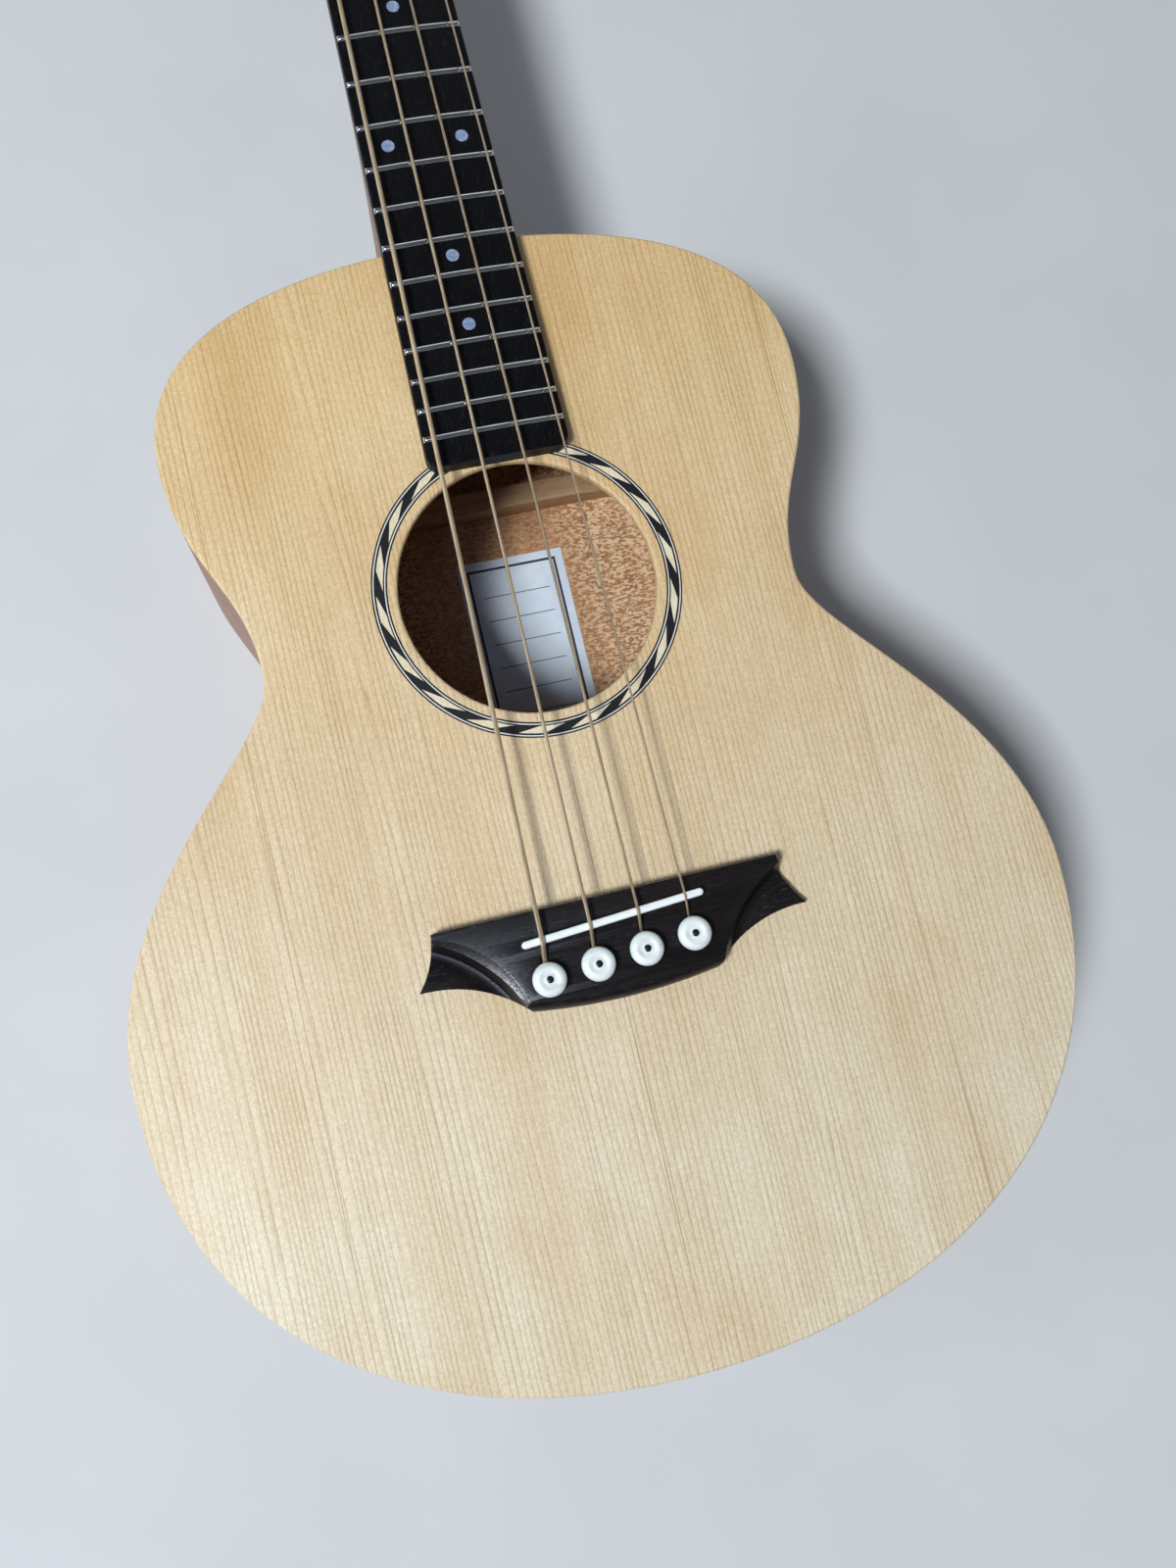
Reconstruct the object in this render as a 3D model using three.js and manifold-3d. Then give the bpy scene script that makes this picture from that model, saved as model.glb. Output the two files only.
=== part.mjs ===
// Short-scale acoustic bass guitar, built as the separate pieces that a luthier would glue, bolt and string
// together. Millimetres, +Z up. The guitar lies on its flat back. The origin is on the outer face of the
// back, on the centre line, right under the line at the bridge where the scale starts. +Y runs along the
// neck to the headstock, and +X points to the treble side.
import * as THREE from 'three';
import { mergeGeometries, mergeVertices } from 'three/addons/utils/BufferGeometryUtils.js';
import Module from 'manifold-3d';

// Strings and scale
const scaleLength = 597;
const fretCount = 20;
const joinFret = 14;
const notesPerOctave = 12;
const stringNames = ['e', 'a', 'd', 'g'];
const stringDiameterE = 1.9;
const stringDiameterA = 1.4;
const stringDiameterD = 1.15;
const stringDiameterG = 0.9;
const stringSpreadNut = 32.8;
const stringSpreadSaddle = 53.8;
const windingTurnShares = [2.3, 2.4, 2.8, 3.3];
const windingGap = 0.55;
const ballDiameter = 5.6;

// Body
const bodyDepth = 104;
const tailReach = 163.2;
const neckJoinLead = 2.5;
const lowerBoutWidth = 350.5;
const lowerBoutDrop = 20;
const waistWidth = 205.6;
const waistDistance = 112.5;
const upperBoutWidth = 249;
const upperBoutDistance = 200.3;
const tailHandleShare = 0.576;
const lowerBoutHandleShare = 0.635;
const hipHandleShare = 0.508;
const waistLowHandleShare = 0.183;
const waistHighHandleShare = 0.427;
const chestHandleShare = 0.486;
const upperBoutHandleShare = 0.694;
const shoulderHandleShare = 0.588;
const outlineSteps = 40;
const topThickness = 3;
const backThickness = 2.8;
const sideThickness = 2.4;
const glueGap = 0.3;
const tailSeam = 0.3;

// Soundhole and rosette
const soundholeToBoard = 0.2;
const soundholeDiameter = 97.8;
const rosetteInner = 105.6;
const rosetteOuter = 117.5;
const rosetteThickness = 0.9;
const ringSteps = 48;

// Inside the body
const liningWidth = 5.5;
const liningHeight = 14;
const kerfPitch = 48;
const kerfWidth = 2.4;
const kerfDepth = 3.6;
const neckBlockWidth = 76;
const neckBlockLength = 44;
const tailBlockWidth = 70;
const tailBlockLength = 20;
const braceWidth = 7.5;
const braceHeight = 14.5;
const braceTipHeight = 3;
const braceTipShare = 0.3;
const braceEndGap = 1.2;
const crossReach = 52;
const crossAngle = 47;
const upperBraceToBoard = 14.2;
const upperBraceWidth = 12;
const toneBarHeight = 10;
const toneBarWidth = 6.5;
const toneBarAngle = 24;
const toneBarUpperDrop = 66;
const toneBarLowerDrop = 104;
const toneBarLength = 112;
const toneBarShift = 14;
const bridgePlateThickness = 2.6;
const bridgePlateRise = 10;
const bridgePlateDrop = 36;
const bridgePlateMaxWidth = 118;
const backBraceShares = [0.924, 0.591, 0.364, 0.158];
const backBraceWidth = 9.5;
const backBraceHeight = 12;
const labelWidth = 66;
const labelLength = 86;
const labelThickness = 0.4;
const labelToBrace = 14.4;

// Bridge, saddle and pins
const bridgeThickness = 8.5;
const bridgeTopWidth = 128.8;
const bridgeTopRise = 7.6;
const bridgeTipWidth = 145.2;
const bridgeTipDrop = 11.8;
const bridgeBottomWidth = 69.4;
const bridgeBottomDrop = 27.2;
const bridgeBellyRise = 2.7;
const bellyRoundRun = 3.8;
const bellyRoundDrop = 5.5;
const bridgeEndHollow = 1.7;
const bridgeWingHollow = 4.4;
const wingThickness = 3.4;
const wingGrooveDepth = 1.1;
const wingArcRadius = 55.8;
const wingArcX = 88;
const wingArcDrop = 46;
const wingCoveWidth = 8.5;
const bevelArcRadius = 40.8;
const bevelArcX = 74.9;
const bevelArcDrop = 33.4;
const bevelDrop = 1.5;
const bevelRun = 6;
const saddleLength = 68.3;
const saddleThickness = 2.8;
const saddleHeight = 8.6;
const saddleProud = 4;
const saddleDrop = 1.6;
const saddleSkew = 3.8;
const pinLineDrop = 15.4;
const pinSkew = 4.2;
const pinSpacing = 18.2;
const pinHeadDiameter = 12.4;
const pinHeadHeight = 3.4;
const pinHeadLift = 2.5;
const pinShaftDiameter = 6.6;
const pinTipDiameter = 5.2;
const pinLength = 25;
const pinClearance = 0.6;
const pinDotDiameter = 2.6;
const slotClearance = 0.4;
const rampDrop = 2.5;
const rampRun = 3.5;

// End pin
const endPinHead = 14;
const endPinWaist = 8.4;
const endPinShaft = 9;
const endPinTip = 7.6;
const endPinStand = 10;
const endPinDepth = 19;
const endPinClearance = 0.35;

// Neck, fingerboard and heel
const nutWidth = 41;
const boardEndWidth = 55;
const boardTail = 11.2;
const boardThickness = 7.2;
const boardRadius = 380;
const boardCorner = 5;
const fretHeight = 1.1;
const fretWidth = 2.4;
const fretTang = 0.6;
const fretEndInset = 0.4;
const nutThickness = 5;
const nutRise = 3.2;
const nutSlotLift = 0.2;
const neckThickness = 15.5;
const neckHeelThickness = 18;
const neckRoundShare = 0.78;
const heelLength = 78;
const heelKeel = 46;
const heelCurveShare = 2;
const heelCapThickness = 2.4;
const heelCapRise = 5;
const tenonWidth = 24;
const tenonLength = 20;
const tenonClearance = 0.4;
const trussRodDiameter = 6;
const trussRodDrop = 8.5;
const trussRodHeadEnd = 28;
const trussRodReach = 52;
const trussNutDiameter = 8;
const trussNutLength = 9;
const neckBoltDiameter = 6;
const neckBoltHead = 12;
const neckBoltHeadHeight = 3;
const neckBoltLength = 36;
const neckBoltHeightShares = [0.69, 0.37];

// Headstock
const headAngle = 14;
const headLength = 150;
const headThickness = 14;
const headWaistWidth = 63;
const headTopWidth = 73;
const headFlareLength = 27;
const headTopRise = 5;
const headOverlap = 6;
const veneerThickness = 1.5;

// Tuning machines, measured from the post, in the headstock's own plane
const postReachLow = 40;
const postReachHigh = 104;
const postSpreadLow = 41;
const postSpreadHigh = 47;
const postDiameter = 9;
const postRise = 19;
const postSlotWidth = 3;
const postSlotDepth = 5;
const postClearance = 0.35;
const postCollar = 1.6;
const bushingFlange = 15.5;
const bushingBody = 12.4;
const bushingFlangeHeight = 2.2;
const bushingDepth = 8;
const wheelTeeth = 16;
const wormPitch = 2.6;
const wormPitchDiameter = 6.4;
const toothAddendum = 0.8;
const toothDedendum = 1.1;
const toothThickness = 0.92;
const toothSlopeShare = 0.36;
const wheelThickness = 4.5;
const wheelDrop = 4.6;
const wormTurns = 3;
const wormStepsPerTurn = 8;
const plateLength = 38;
const plateWidth = 21;
const plateThickness = 1.2;
const plateCorner = 3;
const lugThickness = 1.6;
const lugWidth = 7.6;
const lugGap = 12.4;
const keyShaftDiameter = 3.8;
const keyShaftTail = 1.4;
const keyOverhang = 6;
const keyCollarDiameter = 7;
const keyCollarLength = 5;
const keyButtonLength = 20;
const keyButtonWidth = 22;
const keyButtonThickness = 9;
const windingLift = 3.9;

const wasm = await Module();
wasm.setup();

const rad = THREE.MathUtils.degToRad;
const overrun = 2;

// Materials, one maker function for every finish
function finish(color, roughness, metalness = 0) {
  return new THREE.MeshStandardMaterial({ color, roughness, metalness });
}
const spruce = () => finish(0xe3c795, 0.45);
const mahogany = () => finish(0x7d4a31, 0.55);
const paleBrace = () => finish(0xd8b98a, 0.7);
const blackWood = () => finish(0x1d1a1b, 0.4);
const bone = () => finish(0xf0ede4, 0.35);
const nickel = () => finish(0xb9bcc0, 0.25, 1);
const bronze = () => finish(0xa9835f, 0.35, 1);

// Solids: a closed three.js geometry becomes a manifold for cutting and joining, and comes back
function toSolid(geometry) {
  const bare = geometry.clone();
  bare.deleteAttribute('normal');
  bare.deleteAttribute('uv');
  const merged = mergeVertices(bare, 1e-4);
  return new wasm.Manifold(new wasm.Mesh({
    numProp: 3,
    vertProperties: new Float32Array(merged.attributes.position.array),
    triVerts: new Uint32Array(merged.index.array),
  }));
}

function fromSolid(solid) {
  const mesh = solid.getMesh();
  const geometry = new THREE.BufferGeometry();
  const points = new Float32Array(mesh.numVert * 3);
  for (let i = 0; i < mesh.numVert; i++) {
    for (let k = 0; k < 3; k++) {
      points[3 * i + k] = mesh.vertProperties[i * mesh.numProp + k];
    }
  }
  geometry.setAttribute('position', new THREE.BufferAttribute(points, 3));
  geometry.setIndex(new THREE.BufferAttribute(new Uint32Array(mesh.triVerts), 1));
  geometry.computeVertexNormals();
  return geometry;
}

function cut(geometry, ...cutters) {
  let solid = toSolid(geometry);
  for (const cutter of cutters) {
    solid = solid.subtract(toSolid(cutter));
  }
  return fromSolid(solid);
}

function join(geometry, ...others) {
  let solid = toSolid(geometry);
  for (const other of others) {
    solid = solid.add(toSolid(other));
  }
  return fromSolid(solid);
}

function keepInside(geometry, envelope) {
  return fromSolid(toSolid(geometry).intersect(toSolid(envelope)));
}

// A box given by its two corners
function box(x0, x1, y0, y1, z0, z1) {
  const geometry = new THREE.BoxGeometry(x1 - x0, y1 - y0, z1 - z0);
  geometry.translate((x0 + x1) / 2, (y0 + y1) / 2, (z0 + z1) / 2);
  return geometry;
}

// An outline in the plane, extruded from z0 to z1
function slab(points, z0, z1) {
  const shape = new THREE.Shape(points);
  const geometry = new THREE.ExtrudeGeometry(shape, { depth: z1 - z0, bevelEnabled: false });
  geometry.translate(0, 0, z0);
  return geometry;
}

// A revolved profile of [radius, height] pairs, standing on +Z
function turned(profile, steps) {
  const points = profile.map(([r, h]) => new THREE.Vector2(r, h));
  const geometry = new THREE.LatheGeometry(points, steps);
  geometry.rotateX(Math.PI / 2);
  return geometry;
}

// A plain rod standing on +Z between two heights
function rod(radius, z0, z1, steps) {
  return turned([[0, z0], [radius, z0], [radius, z1], [0, z1]], steps);
}

// A closed skin through rings of equal point counts, with fan ends
function loft(rings) {
  const count = rings[0].length;
  const points = [];
  const faces = [];
  for (const ring of rings) {
    for (const p of ring) {
      points.push(p.x, p.y, p.z);
    }
  }
  for (let r = 0; r + 1 < rings.length; r++) {
    for (let i = 0; i < count; i++) {
      const a = r * count + i;
      const b = r * count + ((i + 1) % count);
      faces.push(a, b, b + count, a, b + count, a + count);
    }
  }
  for (const end of [0, rings.length - 1]) {
    const middle = new THREE.Vector3();
    for (const p of rings[end]) {
      middle.addScaledVector(p, 1 / count);
    }
    const hub = points.length / 3;
    points.push(middle.x, middle.y, middle.z);
    for (let i = 0; i < count; i++) {
      const a = end * count + i;
      const b = end * count + ((i + 1) % count);
      if (end === 0) {
        faces.push(hub, b, a);
      } else {
        faces.push(hub, a, b);
      }
    }
  }
  const geometry = new THREE.BufferGeometry();
  geometry.setAttribute('position', new THREE.BufferAttribute(new Float32Array(points), 3));
  geometry.setIndex(faces);
  return outward(geometry);
}

// Turns a closed geometry the right way round if its volume comes out negative
function outward(geometry) {
  const p = geometry.attributes.position;
  const f = geometry.index.array;
  const a = new THREE.Vector3();
  const b = new THREE.Vector3();
  const c = new THREE.Vector3();
  let volume = 0;
  for (let i = 0; i < f.length; i += 3) {
    a.fromBufferAttribute(p, f[i]);
    b.fromBufferAttribute(p, f[i + 1]);
    c.fromBufferAttribute(p, f[i + 2]);
    volume += a.dot(b.cross(c));
  }
  if (volume < 0) {
    for (let i = 0; i < f.length; i += 3) {
      [f[i], f[i + 1]] = [f[i + 1], f[i]];
    }
  }
  geometry.computeVertexNormals();
  return geometry;
}

// A round tube of one diameter along points, its frame carried along without twist
function tube(path, diameter, sides) {
  const rings = [];
  let normal = null;
  for (let i = 0; i < path.length; i++) {
    const before = path[Math.max(i - 1, 0)];
    const after = path[Math.min(i + 1, path.length - 1)];
    const tangent = new THREE.Vector3().subVectors(after, before).normalize();
    if (normal === null) {
      const side = Math.abs(tangent.x) < 0.9 ? new THREE.Vector3(1, 0, 0) : new THREE.Vector3(0, 1, 0);
      normal = side.cross(tangent).normalize();
    } else {
      normal.addScaledVector(tangent, -normal.dot(tangent)).normalize();
    }
    const other = new THREE.Vector3().crossVectors(tangent, normal);
    const ring = [];
    for (let k = 0; k < sides; k++) {
      const turn = (2 * Math.PI * k) / sides;
      ring.push(path[i].clone()
        .addScaledVector(normal, (diameter / 2) * Math.cos(turn))
        .addScaledVector(other, (diameter / 2) * Math.sin(turn)));
    }
    rings.push(ring);
  }
  return loft(rings);
}

const guitar = new THREE.Group();
const body = new THREE.Group();
const neckGroup = new THREE.Group();
const headGroup = new THREE.Group();
guitar.add(body, neckGroup, headGroup);

function piece(parent, name, geometry, material) {
  const mesh = new THREE.Mesh(geometry, material);
  mesh.name = name;
  parent.add(mesh);
  return mesh;
}

// Lengths along the scale
const fretReach = (n) => scaleLength * Math.pow(2, -n / notesPerOctave);
const bodyTop = fretReach(joinFret) + neckJoinLead;
const boardEnd = fretReach(fretCount) - boardTail;
const soundholeY = boardEnd - soundholeDiameter / 2 - soundholeToBoard;
const upperBraceY = boardEnd + upperBraceToBoard;

// The body outline: half of it, from the tail to the neck, in four stretches that meet square to the
// centre line or along it, at the tail, the lower bout, the waist, the upper bout and the shoulder
function halfOutline(steps) {
  const tail = -tailReach;
  const hipX = lowerBoutWidth / 2;
  const hipY = -lowerBoutDrop;
  const waistX = waistWidth / 2;
  const chestX = upperBoutWidth / 2;
  const hipToWaist = waistDistance - hipY;
  const waistToChest = upperBoutDistance - waistDistance;
  const half = new THREE.Path();
  half.moveTo(0, tail);
  half.bezierCurveTo(
    tailHandleShare * hipX, tail,
    hipX, hipY - lowerBoutHandleShare * (hipY - tail),
    hipX, hipY,
  );
  half.bezierCurveTo(
    hipX, hipY + hipHandleShare * hipToWaist,
    waistX, waistDistance - waistLowHandleShare * hipToWaist,
    waistX, waistDistance,
  );
  half.bezierCurveTo(
    waistX, waistDistance + waistHighHandleShare * waistToChest,
    chestX, upperBoutDistance - chestHandleShare * waistToChest,
    chestX, upperBoutDistance,
  );
  half.bezierCurveTo(
    chestX, upperBoutDistance + upperBoutHandleShare * (bodyTop - upperBoutDistance),
    shoulderHandleShare * chestX, bodyTop,
    0, bodyTop,
  );
  return half.getSpacedPoints(steps);
}

// The half outline drawn in by a distance, each point moved square to the curve
function insetOutline(distance) {
  const points = halfOutline(outlineSteps);
  return points.map((p, i) => {
    const before = points[Math.max(i - 1, 0)];
    const after = points[Math.min(i + 1, points.length - 1)];
    const along = new THREE.Vector2().subVectors(after, before);
    if (i === 0 || i === points.length - 1) {
      along.y = 0;
    }
    along.normalize();
    const moved = new THREE.Vector2(p.x - along.y * distance, p.y + along.x * distance);
    if (i === 0 || i === points.length - 1) {
      moved.x = tailSeam / 2;
    }
    return moved;
  });
}

// Both halves of an outline, closed
function wholeOutline(distance) {
  const half = insetOutline(distance);
  const other = half.slice().reverse().map((p) => new THREE.Vector2(-p.x, p.y));
  return half.concat(other);
}

// A flat plate to an outline, between two heights
function plate(distance, z0, z1) {
  return loft(insetOutline(distance).map((p) => [
    new THREE.Vector3(p.x, p.y, z0),
    new THREE.Vector3(-p.x, p.y, z0),
    new THREE.Vector3(-p.x, p.y, z1),
    new THREE.Vector3(p.x, p.y, z1),
  ]));
}

// A strip that stands along one half of the body, between pairs of outer and inner points
function strip(sign, pairs, z0, z1) {
  return loft(pairs.map(([outer, inner]) => [
    new THREE.Vector3(sign * outer.x, outer.y, z0),
    new THREE.Vector3(sign * inner.x, inner.y, z0),
    new THREE.Vector3(sign * inner.x, inner.y, z1),
    new THREE.Vector3(sign * outer.x, outer.y, z1),
  ]));
}

// Heights of the glued layers
const backInside = backThickness;
const topOutside = bodyDepth;
const topInside = topOutside - topThickness;
const rimLow = backInside + glueGap;
const rimHigh = topInside - glueGap;
const liningInset = sideThickness + glueGap;
const insideInset = liningInset + liningWidth;

// How far a ray inside the body runs before it meets an outline
function reachInside(x, y, angle, distance) {
  const outline = wholeOutline(distance);
  const dx = Math.cos(angle);
  const dy = Math.sin(angle);
  let best = Infinity;
  for (let i = 0; i < outline.length; i++) {
    const a = outline[i];
    const b = outline[(i + 1) % outline.length];
    const ex = b.x - a.x;
    const ey = b.y - a.y;
    const cross = dx * ey - dy * ex;
    const t = ((a.x - x) * ey - (a.y - y) * ex) / cross;
    const u = ((a.x - x) * dy - (a.y - y) * dx) / cross;
    if (cross !== 0 && t > 0 && u >= 0 && u <= 1) {
      best = Math.min(best, t);
    }
  }
  return best;
}

// How far a bar of some width can run before either of its edges comes near the linings
function barReach(x, y, angle, width) {
  const reaches = [-1, 0, 1].map((edge) => reachInside(
    x - (edge * Math.sin(angle) * width) / 2,
    y + (edge * Math.cos(angle) * width) / 2,
    angle,
    insideInset,
  ));
  return Math.min(...reaches) - braceEndGap;
}

// Strings: places at the saddle, the pins and the nut, worked out before the parts that they pass
const stringDiameters = [stringDiameterE, stringDiameterA, stringDiameterD, stringDiameterG];
const lastString = stringNames.length - 1;
const acrossShare = (i) => i / lastString - 1 / 2;
const stringX = {
  saddle: (i) => stringSpreadSaddle * acrossShare(i),
  nut: (i) => stringSpreadNut * acrossShare(i),
};
const bridgeUnder = topOutside + glueGap;
const bridgeOver = bridgeUnder + bridgeThickness;
const saddleTop = bridgeOver + saddleProud;
const saddleY = (x) => -saddleDrop + x * Math.tan(rad(saddleSkew));
const pinPlace = (i) => {
  const along = pinSpacing * lastString * acrossShare(i);
  return new THREE.Vector2(
    along * Math.cos(rad(pinSkew)),
    -pinLineDrop + along * Math.sin(rad(pinSkew)),
  );
};
const stringDropY = (i) => (
  pinPlace(i).y + pinShaftDiameter / 2 + slotClearance + stringDiameters[i] / 2
);

// The hole and string slot for one bridge pin, a cutter for the bridge, the top and the plate below
function pinHole(i, z0, z1) {
  const place = pinPlace(i);
  const hole = rod(pinShaftDiameter / 2 + pinClearance / 2, z0, z1, 14);
  hole.translate(place.x, place.y, 0);
  const halfSlot = stringDiameters[i] / 2 + slotClearance;
  const slot = box(place.x - halfSlot, place.x + halfSlot, place.y, stringDropY(i) + halfSlot, z0, z1);
  return join(hole, slot);
}

// The ramp at the mouth of one string slot, where the string bends up towards the saddle
function pinRamp(i) {
  const halfSlot = stringDiameters[i] / 2 + slotClearance;
  const y0 = stringDropY(i);
  const y1 = y0 + halfSlot;
  const wedge = slab([
    new THREE.Vector2(y0, bridgeOver - rampDrop),
    new THREE.Vector2(y1, bridgeOver - rampDrop),
    new THREE.Vector2(y1 + rampRun, bridgeOver),
    new THREE.Vector2(y1 + rampRun, bridgeOver + overrun),
    new THREE.Vector2(y0, bridgeOver + overrun),
  ], -halfSlot, halfSlot);
  wedge.rotateX(Math.PI / 2);
  wedge.rotateZ(Math.PI / 2);
  wedge.translate(pinPlace(i).x, 0, 0);
  return wedge;
}

// Soundboard: a spruce plate with the soundhole, a channel for the rosette and the pin holes
function soundboard() {
  const hole = rod(soundholeDiameter / 2, topInside - overrun, topOutside + overrun, ringSteps);
  hole.translate(0, soundholeY, 0);
  const floor = topOutside - rosetteThickness - glueGap;
  const channel = turned([
    [rosetteInner / 2 - glueGap, floor],
    [rosetteOuter / 2 + glueGap, floor],
    [rosetteOuter / 2 + glueGap, topOutside + overrun],
    [rosetteInner / 2 - glueGap, topOutside + overrun],
    [rosetteInner / 2 - glueGap, floor],
  ], ringSteps);
  channel.translate(0, soundholeY, 0);
  const holes = stringNames.map((name, i) => pinHole(i, topInside - overrun, topOutside + overrun));
  return cut(plate(0, topInside, topOutside), hole, channel, ...holes);
}
piece(body, 'soundboard', soundboard(), spruce());

// Rosette: a flat inlaid ring that lies flush in its channel
function rosette() {
  const low = topOutside - rosetteThickness;
  const ring = turned([
    [rosetteInner / 2, low],
    [rosetteOuter / 2, low],
    [rosetteOuter / 2, topOutside],
    [rosetteInner / 2, topOutside],
    [rosetteInner / 2, low],
  ], ringSteps);
  ring.translate(0, soundholeY, 0);
  return ring;
}
piece(body, 'rosette', rosette(), blackWood());

// Back plate: one flat plate to the same outline
piece(body, 'back_plate', plate(0, 0, backThickness), mahogany());

// End pin: a turned button in a tapered hole through the sides and the tail block
const endPinHeight = bodyDepth / 2;
const tailFace = -tailReach;

function alongTail(geometry) {
  geometry.rotateX(Math.PI / 2);
  geometry.translate(0, tailFace, endPinHeight);
  return geometry;
}

function endPin() {
  const foot = glueGap;
  const profile = [
    [0, -endPinDepth],
    [endPinTip / 2, -endPinDepth],
    [endPinShaft / 2, 0],
    [endPinShaft / 2, foot],
    [endPinHead / 2, foot],
    [endPinHead / 2, foot + endPinStand / 8],
    [endPinWaist / 2, endPinStand / 2],
    [endPinHead / 2, endPinStand * 3 / 4],
    [endPinHead / 2, endPinStand * 7 / 8],
    [endPinHead * 3 / 8, endPinStand],
    [0, endPinStand],
  ];
  return alongTail(turned(profile, 20));
}
piece(body, 'end_pin', endPin(), blackWood());

function endPinHole() {
  return alongTail(rod(endPinShaft / 2 + endPinClearance, -tailBlockLength * 2, overrun, 20));
}

// Sides: two bent ribs that meet at the tail seam and stop at the neck tenon
const tenonHalf = tenonWidth / 2;

function side(sign) {
  const inner = insetOutline(sideThickness);
  const rib = strip(sign, insetOutline(0).map((p, i) => [p, inner[i]]), rimLow, rimHigh);
  const neckHalf = tenonHalf + tenonClearance;
  const neckWall = box(
    -neckHalf, neckHalf, bodyTop - sideThickness - overrun, bodyTop + overrun, 0, bodyDepth,
  );
  return cut(rib, neckWall, endPinHole());
}
piece(body, 'side_bass', side(-1), mahogany());
piece(body, 'side_treble', side(1), mahogany());

// Kerfed linings: strips along the rim whose inner face is sawn so that they bend
function lining(sign, z0, z1) {
  const rimLine = insetOutline(liningInset);
  const kerfLine = insetOutline(insideInset - kerfDepth);
  const faceLine = insetOutline(insideInset);
  const pairs = [];
  let run = 0;
  faceLine.forEach((here, i) => {
    const back = faceLine[Math.max(i - 1, 0)];
    run += back.distanceTo(here);
    if (run >= kerfPitch && i < faceLine.length - 1) {
      run = 0;
      const at = (line, share) => {
        const next = line[i + Math.sign(share)];
        return line[i].clone().lerp(next, (Math.abs(share) * kerfWidth) / 2 / line[i].distanceTo(next));
      };
      pairs.push([at(rimLine, -1), at(faceLine, -1)], [at(rimLine, -1 / 2), at(kerfLine, -1 / 2)]);
      pairs.push([at(rimLine, 1 / 2), at(kerfLine, 1 / 2)], [at(rimLine, 1), at(faceLine, 1)]);
    } else {
      pairs.push([rimLine[i], here]);
    }
  });
  const tailHalf = tailBlockWidth / 2 + glueGap;
  const neckHalf = neckBlockWidth / 2 + glueGap;
  const tailWall = box(-tailHalf, tailHalf, tailFace, tailFace + tailBlockLength * 2, 0, bodyDepth);
  const neckWall = box(-neckHalf, neckHalf, bodyTop - neckBlockLength, bodyTop, 0, bodyDepth);
  return cut(strip(sign, pairs, z0, z1), tailWall, neckWall);
}
piece(body, 'lining_top_bass', lining(-1, rimHigh - liningHeight, rimHigh), paleBrace());
piece(body, 'lining_top_treble', lining(1, rimHigh - liningHeight, rimHigh), paleBrace());
piece(body, 'lining_back_bass', lining(-1, rimLow, rimLow + liningHeight), paleBrace());
piece(body, 'lining_back_treble', lining(1, rimLow, rimLow + liningHeight), paleBrace());

// Neck block and tail block, shaped to the inside of the sides
const blockRoom = () => plate(liningInset, rimLow, rimHigh);
const blockFaceY = bodyTop - neckBlockLength;
const trussHeight = bodyDepth - trussRodDrop;
const neckBoltHeights = neckBoltHeightShares.map((share) => bodyDepth * share);

// A rod lying along the neck at one height
function alongNeck(geometry, height) {
  geometry.rotateX(-Math.PI / 2);
  geometry.translate(0, 0, height);
  return geometry;
}

function neckBlock() {
  const half = neckBlockWidth / 2;
  const block = keepInside(box(-half, half, blockFaceY, bodyTop, rimLow, rimHigh), blockRoom());
  const pocket = tenonHalf + tenonClearance;
  const mortise = box(
    -pocket, pocket, bodyTop - tenonLength - tenonClearance, bodyTop + overrun, 0, bodyDepth,
  );
  const rodBore = alongNeck(
    rod(trussNutDiameter / 2 + postClearance, blockFaceY - overrun, bodyTop, 16), trussHeight,
  );
  const boltBores = neckBoltHeights.map((height) => alongNeck(
    rod(neckBoltDiameter / 2 + postClearance, blockFaceY - overrun, bodyTop, 16), height,
  ));
  return cut(block, mortise, rodBore, ...boltBores);
}
piece(body, 'neck_block', neckBlock(), mahogany());

function tailBlock() {
  const half = tailBlockWidth / 2;
  const block = box(-half, half, tailFace, tailFace + liningInset + tailBlockLength, rimLow, rimHigh);
  return cut(keepInside(block, blockRoom()), endPinHole());
}
piece(body, 'tail_block', tailBlock(), mahogany());

// A brace bar along +X from x0 to x1, its glued face at height 0 and its ends thinned to tips
function barProfile(x0, x1, height, tip, width) {
  const taper = braceTipShare * (x1 - x0);
  const shape = [
    new THREE.Vector2(x0, 0),
    new THREE.Vector2(x1, 0),
    new THREE.Vector2(x1, tip),
    new THREE.Vector2(x1 - taper / 2, tip + (height - tip) / 4),
    new THREE.Vector2(x1 - taper, height),
    new THREE.Vector2(x0 + taper, height),
    new THREE.Vector2(x0 + taper / 2, tip + (height - tip) / 4),
    new THREE.Vector2(x0, tip),
  ];
  const bar = slab(shape, -width / 2, width / 2);
  bar.rotateX(Math.PI / 2);
  return bar;
}

// A bar under the soundboard, through a point, at an angle from +X
function topBar(x, y, angle, forward, backward, height, width) {
  const bar = barProfile(-backward, forward, height, braceTipHeight, width);
  bar.rotateX(Math.PI);
  bar.rotateZ(angle);
  bar.translate(x, y, rimHigh);
  return bar;
}

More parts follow.
